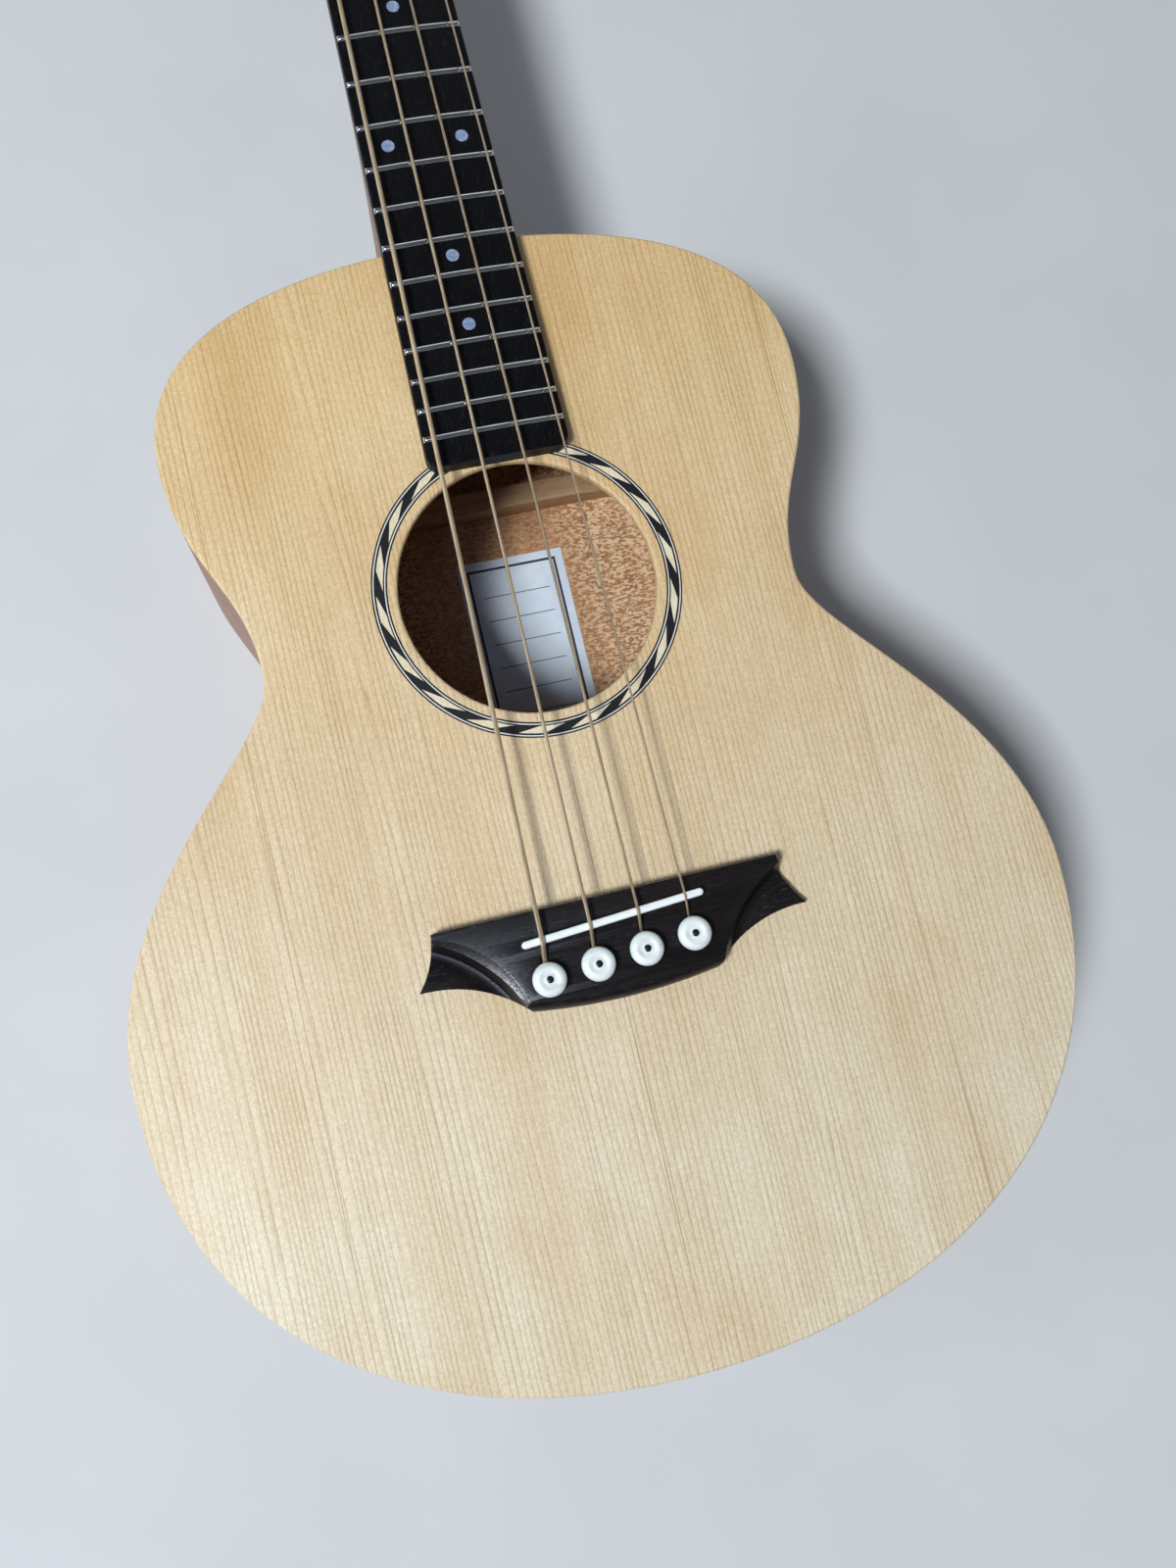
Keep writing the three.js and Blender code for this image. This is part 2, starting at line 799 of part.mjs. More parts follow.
// X brace: two bars that cross with a half lap, one notched from each side
function xBrace(sign) {
  const angle = rad(90 - sign * crossAngle);
  const up = barReach(0, crossReach, angle, braceWidth);
  const down = barReach(0, crossReach, angle + Math.PI, braceWidth);
  const bar = topBar(0, crossReach, angle, up, down, braceHeight, braceWidth);
  const lapHalf = braceWidth / 2 + glueGap;
  const lapMiddle = rimHigh - braceHeight / 2;
  const lap = sign > 0
    ? box(-braceWidth * 2, braceWidth * 2, -lapHalf, lapHalf, lapMiddle - glueGap / 2, rimHigh + overrun)
    : box(-braceWidth * 2, braceWidth * 2, -lapHalf, lapHalf, 0, lapMiddle + glueGap / 2);
  lap.rotateZ(rad(90 + sign * crossAngle));
  lap.translate(0, crossReach, 0);
  return cut(bar, lap);
}
piece(body, 'x_brace_bass', xBrace(-1), paleBrace());
piece(body, 'x_brace_treble', xBrace(1), paleBrace());

// Upper brace: a square bar across the top between the soundhole and the neck block
function upperBrace() {
  const reach = barReach(0, upperBraceY, 0, upperBraceWidth);
  return topBar(0, upperBraceY, 0, reach, reach, braceHeight, upperBraceWidth);
}
piece(body, 'upper_brace', upperBrace(), paleBrace());

// Tone bars: two low bars fanned across the lower bout
function toneBar(y) {
  const half = toneBarLength / 2;
  return topBar(toneBarShift, y, rad(-toneBarAngle), half, half, toneBarHeight, toneBarWidth);
}
piece(body, 'tone_bar_upper', toneBar(-toneBarUpperDrop), paleBrace());
piece(body, 'tone_bar_lower', toneBar(-toneBarLowerDrop), paleBrace());

// Bridge plate: hardwood under the bridge, fitted between the legs of the X brace
function bridgePlate() {
  const legClear = braceWidth / 2 / Math.cos(rad(crossAngle)) + glueGap * 2;
  const legX = (y) => Math.min(
    (crossReach - y) * Math.tan(rad(crossAngle)) - legClear,
    bridgePlateMaxWidth / 2,
  );
  const outline = [
    new THREE.Vector2(-legX(-bridgePlateDrop), -bridgePlateDrop),
    new THREE.Vector2(legX(-bridgePlateDrop), -bridgePlateDrop),
    new THREE.Vector2(legX(bridgePlateRise), bridgePlateRise),
    new THREE.Vector2(-legX(bridgePlateRise), bridgePlateRise),
  ];
  const plate = slab(outline, rimHigh - bridgePlateThickness, rimHigh);
  const holeFoot = rimHigh - bridgePlateThickness - overrun;
  const holes = stringNames.map((name, i) => pinHole(i, holeFoot, rimHigh + overrun));
  return cut(plate, ...holes);
}
piece(body, 'bridge_plate', bridgePlate(), paleBrace());

// Back braces: four bars across the back, spread between the tail and the neck block
const backBraceYs = backBraceShares.map((share) => tailFace + share * (blockFaceY - tailFace));
backBraceYs.forEach((y, i) => {
  const reach = barReach(0, y, 0, backBraceWidth);
  const bar = barProfile(-reach, reach, backBraceHeight, braceTipHeight, backBraceWidth);
  bar.translate(0, y, rimLow);
  piece(body, `back_brace_${i + 1}`, bar, paleBrace());
});

// Label: a bare paper rectangle on the back under the soundhole, above the second brace
const labelStart = backBraceYs[1] + backBraceWidth / 2 + labelToBrace;
const label = box(
  -labelWidth / 2, labelWidth / 2, labelStart, labelStart + labelLength,
  backInside + glueGap, backInside + glueGap + labelThickness,
);
piece(body, 'label', label, finish(0xe9edf2, 0.8));

// Bridge: a batwing outline with hollow ends and wing edges and a bowed lower edge. Each wing is carved
// down in a cove that runs in an arc between two corners, with a crescent bevel along its upper rim
function arcBetween(a, b, rise, steps) {
  const along = new THREE.Vector2().subVectors(b, a);
  const out = new THREE.Vector2(along.y, -along.x).normalize();
  const points = [];
  for (let i = 0; i < steps; i++) {
    const t = i / steps;
    points.push(a.clone().addScaledVector(along, t).addScaledVector(out, 4 * t * (1 - t) * rise));
  }
  return points;
}

function bridgeOutline() {
  const corner = (width, y) => new THREE.Vector2(width / 2, y);
  const mirror = (p) => new THREE.Vector2(-p.x, p.y);
  const top = corner(bridgeTopWidth, bridgeTopRise);
  const tip = corner(bridgeTipWidth, -bridgeTipDrop);
  const low = corner(bridgeBottomWidth, -bridgeBottomDrop);
  return [
    ...arcBetween(mirror(top), mirror(tip), -bridgeEndHollow, 5),
    ...arcBetween(mirror(tip), mirror(low), -bridgeWingHollow, 7),
    ...arcBetween(mirror(low), low, bridgeBellyRise, 8),
    ...arcBetween(low, tip, -bridgeWingHollow, 7),
    ...arcBetween(tip, top, -bridgeEndHollow, 5),
    top,
  ];
}

function wingCutters(sign) {
  const wingTop = bridgeUnder + wingThickness;
  const high = bridgeOver + overrun;
  const coveFoot = wingArcRadius - wingCoveWidth;
  const groove = wingTop - wingGrooveDepth;
  const cove = turned([
    [0, wingTop],
    [coveFoot, wingTop],
    [coveFoot + wingCoveWidth / 3, groove],
    [coveFoot + wingCoveWidth * 2 / 3, groove + wingGrooveDepth],
    [wingArcRadius - wingCoveWidth / 16, bridgeOver - bevelDrop],
    [wingArcRadius, high],
    [0, high],
  ], 60);
  cove.translate(sign * wingArcX, -wingArcDrop, 0);
  const bevel = turned([
    [0, bridgeOver - bevelDrop],
    [bevelArcRadius - bevelRun, bridgeOver - bevelDrop],
    [bevelArcRadius, bridgeOver],
    [bevelArcRadius, high],
    [0, high],
  ], 48);
  bevel.translate(sign * bevelArcX, -bevelArcDrop, 0);
  return [cove, bevel];
}

// Rounds the bridge's lower edge over, along the circle that its bow follows
function bellyCutter() {
  const half = bridgeBottomWidth / 2;
  const radius = (half * half) / (2 * bridgeBellyRise) + bridgeBellyRise / 2;
  const high = bridgeOver + overrun;
  const rounding = [0, 30, 60, 90].map((turn) => [
    radius - bellyRoundRun + bellyRoundRun * Math.sin(rad(turn)),
    bridgeOver - bellyRoundDrop * (1 - Math.cos(rad(turn))),
  ]);
  const start = [radius - bellyRoundRun, high];
  const cutter = turned([
    start,
    ...rounding,
    [radius + bellyRoundRun, bridgeOver - bellyRoundDrop],
    [radius + bellyRoundRun, high],
    start,
  ], 180);
  cutter.translate(0, radius - bridgeBottomDrop - bridgeBellyRise, 0);
  return cutter;
}

function saddlePlace(geometry) {
  geometry.rotateZ(rad(saddleSkew));
  geometry.translate(0, -saddleDrop, 0);
  return geometry;
}

function saddleOutline(clearance) {
  const half = saddleThickness / 2 + clearance;
  const run = saddleLength / 2 - saddleThickness / 2;
  const points = [];
  for (const end of [1, -1]) {
    for (let i = 0; i <= 6; i++) {
      const turn = rad(-90 + (180 * i) / 6);
      points.push(new THREE.Vector2(end * (run + half * Math.cos(turn)), end * half * Math.sin(turn)));
    }
  }
  return points;
}

function bridge() {
  const block = slab(bridgeOutline(), bridgeUnder, bridgeOver);
  const slotPlan = saddleOutline(glueGap / 2);
  const slot = saddlePlace(slab(slotPlan, saddleTop - saddleHeight, bridgeOver + overrun));
  const holes = stringNames.map((name, i) => pinHole(i, bridgeUnder - overrun, bridgeOver + overrun));
  const ramps = stringNames.map((name, i) => pinRamp(i));
  return cut(block, ...wingCutters(-1), ...wingCutters(1), bellyCutter(), slot, ...holes, ...ramps);
}
piece(body, 'bridge', bridge(), blackWood());

function saddle() {
  return saddlePlace(slab(saddleOutline(-glueGap / 2), saddleTop - saddleHeight + glueGap, saddleTop));
}
piece(body, 'saddle', saddle(), bone());

// Bridge pins: tapered pegs with a domed head, a dished ring and an inlaid dot
function bridgePin(i) {
  const headR = pinHeadDiameter / 2;
  const under = bridgeOver + pinHeadLift;
  const crown = under + pinHeadHeight;
  const pin = turned([
    [0, under - pinLength],
    [pinTipDiameter / 2, under - pinLength],
    [pinShaftDiameter / 2, under],
    [headR - pinHeadHeight / 8, under],
    [headR, under + pinHeadHeight / 4],
    [headR * 7 / 8, under + pinHeadHeight * 3 / 4],
    [headR * 2 / 3, crown],
    [pinDotDiameter / 2, crown - pinHeadHeight / 8],
    [0, crown - pinHeadHeight / 8],
  ], 14);
  const place = pinPlace(i);
  pin.translate(place.x, place.y, 0);
  return pin;
}
stringNames.forEach((name, i) => piece(body, `bridge_pin_${name}`, bridgePin(i), bone()));

// Neck: a rounded shaft, a heel that sweeps down the side of the body, and a tenon in the neck block
const boardWidth = (y) => {
  const share = (y - boardEnd) / (scaleLength - boardEnd);
  return boardEndWidth + (nutWidth - boardEndWidth) * share;
};
const heelFace = bodyTop + glueGap;
const neckEnd = scaleLength + nutThickness;

function neckSection(y, depth) {
  const halfWidth = boardWidth(Math.min(y, scaleLength)) / 2;
  const ring = [];
  const steps = 12;
  for (let i = 0; i <= steps; i++) {
    const turn = (Math.PI * i) / steps;
    ring.push(new THREE.Vector3(
      halfWidth * Math.cos(turn),
      y,
      bodyDepth - depth * Math.pow(Math.sin(turn), neckRoundShare),
    ));
  }
  return ring;
}

function neckShaft() {
  const heelDepth = bodyDepth + heelKeel;
  const rings = [];
  for (let i = 0; i <= 8; i++) {
    const share = i / 8;
    const y = heelFace + heelLength * share;
    const sweep = Math.pow(1 - share, heelCurveShare);
    rings.push(neckSection(y, neckHeelThickness + (heelDepth - neckHeelThickness) * sweep));
  }
  rings.push(neckSection(neckEnd, neckThickness));
  return loft(rings);
}

function headOutline() {
  const shape = new THREE.Shape();
  const half = nutWidth / 2;
  const waist = headWaistWidth / 2;
  const top = headTopWidth / 2;
  shape.moveTo(-half, 0);
  shape.lineTo(half, 0);
  shape.bezierCurveTo(half, headFlareLength / 2, waist, headFlareLength / 2, waist, headFlareLength);
  shape.lineTo(top, headLength - headTopRise);
  shape.quadraticCurveTo(0, headLength + headTopRise, -top, headLength - headTopRise);
  shape.lineTo(-waist, headFlareLength);
  shape.bezierCurveTo(-waist, headFlareLength / 2, -half, headFlareLength / 2, -half, 0);
  return shape.getPoints(6);
}

// The headstock's own frame: its face tips back from the far edge of the nut
const headStart = neckEnd + glueGap + veneerThickness * Math.sin(rad(headAngle));
headGroup.position.set(0, headStart, bodyDepth);
headGroup.rotation.x = -rad(headAngle);

function intoHead(geometry) {
  geometry.rotateX(-rad(headAngle));
  geometry.translate(0, headStart, bodyDepth);
  return geometry;
}

const headTop = -veneerThickness - glueGap;
const headBack = headTop - headThickness;
const posts = stringNames.map((name, i) => {
  const sign = i < stringNames.length / 2 ? -1 : 1;
  const low = i === 0 || i === lastString;
  return {
    name,
    sign,
    diameter: stringDiameters[i],
    turns: windingTurnShares[i],
    x: sign * (low ? postSpreadLow : postSpreadHigh) / 2,
    y: low ? postReachLow : postReachHigh,
  };
});

function postHole(post, radius, z0, z1) {
  const hole = rod(radius, z0, z1, 16);
  hole.translate(post.x, post.y, 0);
  return hole;
}

function neck() {
  const slabHead = slab(headOutline(), headBack, headTop);
  const rootHalf = nutWidth / 2;
  const root = box(-rootHalf, rootHalf, -headOverlap, overrun, headBack, headTop);
  let head = join(slabHead, root);
  const bores = posts.flatMap((post) => [
    postHole(post, postDiameter / 2 + postClearance, headBack - overrun, headTop + overrun),
    postHole(post, bushingBody / 2 + glueGap / 2, -bushingDepth - glueGap, headTop + overrun),
  ]);
  head = intoHead(cut(head, ...bores));
  const tenon = box(
    -tenonHalf, tenonHalf, bodyTop - tenonLength, heelFace + overrun,
    rimLow + heelCapRise, topInside - glueGap,
  );
  const shaft = neckShaft();
  const heelFloor = box(
    -neckBlockWidth, neckBlockWidth, heelFace - overrun, heelFace + heelLength, -bodyDepth, heelCapLine,
  );
  const shaped = cut(shaft, heelFloor);
  const rodEnd = scaleLength - trussRodHeadEnd;
  const channelHalf = trussRodDiameter / 2 + postClearance;
  const channel = box(
    -channelHalf, channelHalf, bodyTop - tenonLength - overrun, rodEnd + postClearance,
    trussHeight - channelHalf, bodyDepth + overrun,
  );
  const boltRadius = neckBoltDiameter / 2 + postClearance;
  const boltStart = bodyTop - tenonLength - overrun;
  const boltEnd = blockFaceY + neckBoltLength + overrun;
  const boltBores = neckBoltHeights.map((height) => (
    alongNeck(rod(boltRadius, boltStart, boltEnd, 12), height)
  ));
  return cut(join(shaped, head, tenon), channel, ...boltBores);
}
const heelCapLine = heelCapRise + heelCapThickness + glueGap;
piece(neckGroup, 'neck', neck(), mahogany());

// Heel cap: a thin dark plate glued under the heel, cut from the same heel form
function heelCap() {
  const half = neckBlockWidth;
  const plate = box(
    -half, half, heelFace - overrun, heelFace + heelLength, heelCapRise, heelCapLine - glueGap,
  );
  return keepInside(neckShaft(), plate);
}
piece(neckGroup, 'heel_cap', heelCap(), blackWood());

// Neck bolts: two screws through the block into the tenon
neckBoltHeights.forEach((height, i) => {
  const head = blockFaceY - glueGap;
  const bolt = alongNeck(turned([
    [0, head - neckBoltHeadHeight],
    [neckBoltHead / 2, head - neckBoltHeadHeight],
    [neckBoltHead / 2, head],
    [neckBoltDiameter / 2, head],
    [neckBoltDiameter / 2, head + neckBoltLength],
    [0, head + neckBoltLength],
  ], 12), height);
  piece(body, `neck_bolt_${i + 1}`, bolt, nickel());
});

// Truss rod: a steel rod in a channel under the fingerboard, its nut reached through the soundhole
function trussRod() {
  const start = bodyTop - trussRodReach;
  const end = scaleLength - trussRodHeadEnd;
  return alongNeck(turned([
    [0, start],
    [trussNutDiameter / 2, start],
    [trussNutDiameter / 2, start + trussNutLength],
    [trussRodDiameter / 2, start + trussNutLength],
    [trussRodDiameter / 2, end],
    [0, end],
  ], 12), trussHeight);
}
piece(neckGroup, 'truss_rod', trussRod(), nickel());

// Fingerboard: a tapered, slightly arched board with its frets pressed in, rounded at the soundhole end
const boardUnder = bodyDepth + glueGap;
const boardOver = boardUnder + boardThickness;
const archAt = (x) => boardOver - (boardRadius - Math.sqrt(boardRadius * boardRadius - x * x));

function boardSection(y) {
  const half = boardWidth(y) / 2;
  const ring = [new THREE.Vector3(half, y, boardUnder)];
  for (let i = 0; i <= 4; i++) {
    const x = half * (1 - i / 2);
    ring.push(new THREE.Vector3(x, y, archAt(x)));
  }
  ring.push(new THREE.Vector3(-half, y, boardUnder));
  return ring;
}

function boardPlan() {
  const low = boardEndWidth / 2;
  const high = nutWidth / 2;
  const shape = new THREE.Shape();
  shape.moveTo(low, boardEnd + boardCorner);
  shape.lineTo(high + overrun, scaleLength);
  shape.lineTo(-high - overrun, scaleLength);
  shape.lineTo(-low, boardEnd + boardCorner);
  shape.quadraticCurveTo(-low, boardEnd, -low + boardCorner, boardEnd);
  shape.lineTo(low - boardCorner, boardEnd);
  shape.quadraticCurveTo(low, boardEnd, low, boardEnd + boardCorner);
  return slab(shape.getPoints(4), bodyDepth - overrun, boardOver + overrun);
}

// One fret: a crowned wire bent to the board's arch, with its ends filed back
function fret(n) {
  const y = fretReach(n);
  const half = boardWidth(y) / 2 - fretEndInset;
  const rings = [];
  for (const share of [-1, -0.5, 0, 0.5, 1]) {
    const x = half * share;
    const crown = archAt(x) + fretHeight;
    rings.push([
      new THREE.Vector3(x, y - fretWidth / 2, crown - fretHeight - fretTang),
      new THREE.Vector3(x, y - fretWidth / 2, crown - fretHeight * 2 / 3),
      new THREE.Vector3(x, y, crown),
      new THREE.Vector3(x, y + fretWidth / 2, crown - fretHeight * 2 / 3),
      new THREE.Vector3(x, y + fretWidth / 2, crown - fretHeight - fretTang),
    ]);
  }
  return loft(rings);
}

function fingerboard() {
  const blank = loft([boardSection(boardEnd - overrun), boardSection(scaleLength)]);
  const board = keepInside(blank, boardPlan());
  const frets = [];
  for (let n = 1; n <= fretCount; n++) {
    frets.push(fret(n));
  }
  return join(board, ...frets);
}
piece(neckGroup, 'fingerboard', fingerboard(), blackWood());

// Nut: a bone block at the end of the board, slotted for each string
const nutTop = boardOver + nutRise;
const nutSlotFloor = boardOver + fretHeight + nutSlotLift;

function nut() {
  const half = nutWidth / 2;
  const y0 = scaleLength + glueGap;
  const block = box(-half, half, y0, scaleLength + nutThickness, boardUnder, nutTop);
  const slots = stringNames.map((name, i) => {
    const x = stringX.nut(i);
    const r = stringDiameters[i] / 2 + glueGap / 2;
    return box(x - r, x + r, scaleLength - overrun, neckEnd + overrun, nutSlotFloor, nutTop + overrun);
  });
  return cut(block, ...slots);
}
piece(neckGroup, 'nut', nut(), bone());

// Headstock veneer: a thin dark face over the headstock
function headVeneer() {
  const plate = slab(headOutline(), -veneerThickness, 0);
  const boreRadius = bushingBody / 2 + glueGap / 2;
  const bores = posts.map((post) => postHole(post, boreRadius, -veneerThickness - overrun, overrun));
  return cut(plate, ...bores);
}
piece(headGroup, 'headstock_veneer', headVeneer(), blackWood());

// Tuning machines. The plate lies on the headstock's back. Its two lugs hold the key's worm, which turns
// the toothed wheel on the foot of the post. Heights are measured from the post's own frame
const plateOver = headBack - glueGap;
const plateUnder = plateOver - plateThickness;
const wormHeight = plateUnder - wheelDrop;
const wheelPitchRadius = (wheelTeeth * wormPitch) / (2 * Math.PI);
const wormPitchRadius = wormPitchDiameter / 2;
const wormReach = wheelPitchRadius + wormPitchRadius;
const lugFloor = wormHeight - keyShaftDiameter;

function bushing() {
  const bore = postDiameter / 2 + postClearance;
  return turned([
    [bore, -bushingDepth],
    [bushingBody / 2 - glueGap / 2, -bushingDepth],
    [bushingBody / 2 - glueGap / 2, glueGap],
    [bushingFlange / 2, glueGap],
    [bushingFlange / 2 - glueGap, bushingFlangeHeight],
    [bore, bushingFlangeHeight],
    [bore, -bushingDepth],
  ], 16);
}

function plateOutline() {
  const half = plateWidth / 2;
  const y0 = -plateLength / 2 + wormReach / 2;
  const y1 = plateLength / 2 + wormReach / 2;
  const c = plateCorner;
  const shape = new THREE.Shape();
  shape.moveTo(-half + c, y0);
  shape.lineTo(half - c, y0);
  shape.quadraticCurveTo(half, y0, half, y0 + c);
  shape.lineTo(half, y1 - c);
  shape.quadraticCurveTo(half, y1, half - c, y1);
  shape.lineTo(-half + c, y1);
  shape.quadraticCurveTo(-half, y1, -half, y1 - c);
  shape.lineTo(-half, y0 + c);
  shape.quadraticCurveTo(-half, y0, -half + c, y0);
  return shape.getPoints(3);
}

function acrossHead(geometry, y, height) {
  geometry.rotateY(Math.PI / 2);
  geometry.translate(0, y, height);
  return geometry;
}

function tunerPlate() {
  const plate = slab(plateOutline(), plateUnder, plateOver);
  const lugs = [-1, 1].map((end) => {
    const inner = end * (lugGap / 2);
    const outer = end * (lugGap / 2 + lugThickness);
    return box(
      Math.min(inner, outer), Math.max(inner, outer),
      wormReach - lugWidth / 2, wormReach + lugWidth / 2, lugFloor, plateUnder + plateThickness / 2,
    );
  });
  const reach = plateWidth;
  const shaftBore = acrossHead(
    rod(keyShaftDiameter / 2 + postClearance, -reach, reach, 10), wormReach, wormHeight,
  );
  const postBore = rod(postDiameter / 2 + postClearance, plateUnder - overrun, plateOver + overrun, 16);
  return cut(join(plate, ...lugs), shaftBore, postBore);
}

// The thread: a ridge of one start wound round the worm's root
function wormThread() {
  const rootR = wormPitchRadius - toothDedendum;
  const tipR = wormPitchRadius + toothAddendum;
  const tipHalf = toothThickness / 2 - toothAddendum * toothSlopeShare;
  const rootHalf = toothThickness / 2 + toothDedendum * toothSlopeShare;
  const steps = Math.round(wormTurns * wormStepsPerTurn);
  const rings = [];
  for (let i = 0; i <= steps; i++) {
    const turn = 2 * Math.PI * wormTurns * (i / steps - 1 / 2);
    const along = (wormPitch * turn) / (2 * Math.PI);
    const ring = [[rootR * 3 / 4, -rootHalf], [tipR, -tipHalf], [tipR, tipHalf], [rootR * 3 / 4, rootHalf]];
    rings.push(ring.map(([r, side]) => new THREE.Vector3(
      along + side,
      -r * Math.cos(turn),
      -r * Math.sin(turn),
    )));
  }
  return loft(rings);
}

function tunerKey(post) {
  const rootR = wormPitchRadius - toothDedendum;
  const lugFace = lugGap / 2 - glueGap;
  const headEdge = headTopWidth / 2 - Math.abs(post.x);
  const buttonStart = headEdge + keyOverhang;
  const shaft = turned([
    [0, -lugGap / 2 - lugThickness - keyShaftTail],
    [keyShaftDiameter / 2, -lugGap / 2 - lugThickness - keyShaftTail],
    [keyShaftDiameter / 2, -lugFace],
    [rootR, -lugFace],
    [rootR, lugFace],
    [keyShaftDiameter / 2, lugFace],
    [keyShaftDiameter / 2, buttonStart - keyCollarLength / 2],
    [keyCollarDiameter / 2, buttonStart - keyCollarLength / 2],
    [keyCollarDiameter / 2, buttonStart + keyCollarLength / 2],
    [0, buttonStart + keyCollarLength / 2],
  ], 10);
  shaft.rotateY(Math.PI / 2);
  const button = new THREE.SphereGeometry(1, 12, 8);
  button.scale(keyButtonLength / 2, keyButtonWidth / 2, keyButtonThickness / 2);
  button.translate(buttonStart + keyButtonLength / 2, 0, 0);
  const rodAndButton = join(shaft, button);
  if (post.sign < 0) {
    rodAndButton.rotateZ(Math.PI);
  }
  const key = join(rodAndButton, wormThread());
  key.translate(0, wormReach, wormHeight);
  return key;
}

// The post with its wheel: helical teeth that follow the worm's lead, and a slotted head for the string
function toothedWheel() {
  const rootR = wheelPitchRadius - toothDedendum;
  const tipR = wheelPitchRadius + toothAddendum;
  const pitchAngle = (2 * Math.PI) / wheelTeeth;
  const tipHalf = (toothThickness / 2 - toothAddendum * toothSlopeShare) / tipR;
  const rootHalf = (toothThickness / 2 + toothDedendum * toothSlopeShare) / rootR;
  const lead = wormPitch / (2 * Math.PI * wormPitchRadius);
  const tooth = [[rootR, -rootHalf], [tipR, -tipHalf], [tipR, tipHalf], [rootR, rootHalf]];
  const rings = [-1, 1].map((end) => {
    const height = wormHeight + (end * wheelThickness) / 2;
    const twist = (lead * end * wheelThickness) / 2 / wheelPitchRadius;
    const ring = [];
    for (let i = 0; i < wheelTeeth; i++) {
      const middle = Math.PI / 2 + pitchAngle * (i + 1 / 2) + twist;
      for (const [r, offset] of tooth) {
        ring.push(new THREE.Vector3(r * Math.cos(middle + offset), r * Math.sin(middle + offset), height));
      }
    }
    return ring;
  });
  return loft(rings);
}

function tunerPost() {
  const r = postDiameter / 2;
  const foot = wormHeight - wheelThickness / 2 - postCollar;
  const post = turned([
    [0, foot],
    [r * 3 / 4, foot],
    [r, foot + postCollar / 2],
    [r, postRise - postCollar / 2],
    [r * 7 / 8, postRise],
    [0, postRise],
  ], 14);
  const slot = box(
    -postSlotWidth / 2, postSlotWidth / 2, -postDiameter, postDiameter,
    postRise - postSlotDepth, postRise + overrun,
  );
  return cut(join(post, toothedWheel()), slot);
}

for (const post of posts) {
  const tuner = new THREE.Group();
  tuner.position.set(post.x, post.y, 0);
  headGroup.add(tuner);
  piece(tuner, `tuner_plate_${post.name}`, tunerPlate(), nickel());
  piece(tuner, `tuner_key_${post.name}`, tunerKey(post), nickel());
  piece(tuner, `tuner_post_${post.name}`, tunerPost(), nickel());
  piece(tuner, `tuner_bushing_${post.name}`, bushing(), nickel());
}

// Strings. Each is one length from its ball under the bridge plate, up its slot, over the saddle and the
// nut, and round its post in a close helix
const headMatrix = new THREE.Matrix4().makeRotationX(-rad(headAngle));
headMatrix.setPosition(0, headStart, bodyDepth);
const loopSteps = 24;

function windingPoints(post) {
  const d = post.diameter;
  const radius = postDiameter / 2 + glueGap + d / 2;
  const nutEnd = new THREE.Vector3(
    stringX.nut(stringNames.indexOf(post.name)), neckEnd, nutSlotFloor + d / 2 + glueGap,
  );
  const from = nutEnd.applyMatrix4(headMatrix.clone().invert());
  const toPost = new THREE.Vector2(post.x - from.x, post.y - from.y);
  const heading = Math.atan2(toPost.y, toPost.x);
  const lean = Math.asin(radius / toPost.length());
  const start = heading + Math.PI - post.sign * (Math.PI / 2 - lean);
  const total = Math.round(post.turns * loopSteps);
  const points = [];
  for (let i = 0; i <= total; i++) {
    const turn = start - (post.sign * 2 * Math.PI * i) / loopSteps;
    points.push(new THREE.Vector3(
      post.x + radius * Math.cos(turn),
      post.y + radius * Math.sin(turn),
      windingLift + d / 2 + ((d + windingGap) * i) / loopSteps,
    ));
  }
  const last = points[points.length - 1];
  const lastTurn = start - (post.sign * 2 * Math.PI * total) / loopSteps;
  const onward = new THREE.Vector3(Math.sin(lastTurn), -Math.cos(lastTurn), 0).multiplyScalar(post.sign);
  points.push(last.clone().addScaledVector(onward, d));
  return points;
}

// The least gap between turns that lie at least half a turn apart
function leastGap(points, diameter) {
  let least = Infinity;
  for (let i = 0; i < points.length; i++) {
    for (let j = i + loopSteps / 2; j < points.length; j++) {
      least = Math.min(least, points[i].distanceTo(points[j]) - diameter);
    }
  }
  return least;
}

function stringTube(i) {
  const d = stringDiameters[i];
  const lift = d / 2 + glueGap;
  const drop = stringDropY(i);
  const bend = d / 2 + slotClearance;
  const pinX = pinPlace(i).x;
  const saddleX = stringX.saddle(i);
  const crest = saddleY(saddleX);
  const winding = windingPoints(posts[i]);
  console.log(`string ${stringNames[i]}: least gap between turns ${leastGap(winding, d).toFixed(2)} mm`);
  const path = [
    new THREE.Vector3(pinX, drop, rimHigh - bridgePlateThickness - ballDiameter / 2),
    new THREE.Vector3(pinX, drop, bridgeUnder),
    new THREE.Vector3(pinX, drop, bridgeOver - rampDrop),
    new THREE.Vector3(pinX, drop + bend * (1 - Math.SQRT1_2), bridgeOver - rampDrop + bend * Math.SQRT1_2),
    new THREE.Vector3(saddleX, crest - saddleThickness, saddleTop + lift),
    new THREE.Vector3(saddleX, crest, saddleTop + lift),
    new THREE.Vector3(stringX.nut(i), scaleLength, nutSlotFloor + lift),
    new THREE.Vector3(stringX.nut(i), neckEnd, nutSlotFloor + lift),
    ...winding.map((p) => p.clone().applyMatrix4(headMatrix)),
  ];
  const ball = new THREE.CylinderGeometry(ballDiameter / 2, ballDiameter / 2, ballDiameter * 3 / 4, 12);
  ball.rotateZ(Math.PI / 2);
  const ballY = pinPlace(i).y + pinShaftDiameter / 2 + slotClearance + ballDiameter / 2;
  ball.translate(pinX, ballY, rimHigh - bridgePlateThickness - glueGap - ballDiameter / 2);
  return join(tube(path, d, 6), ball);
}
stringNames.forEach((name, i) => piece(guitar, `string_${name}`, stringTube(i), bronze()));

export default guitar;
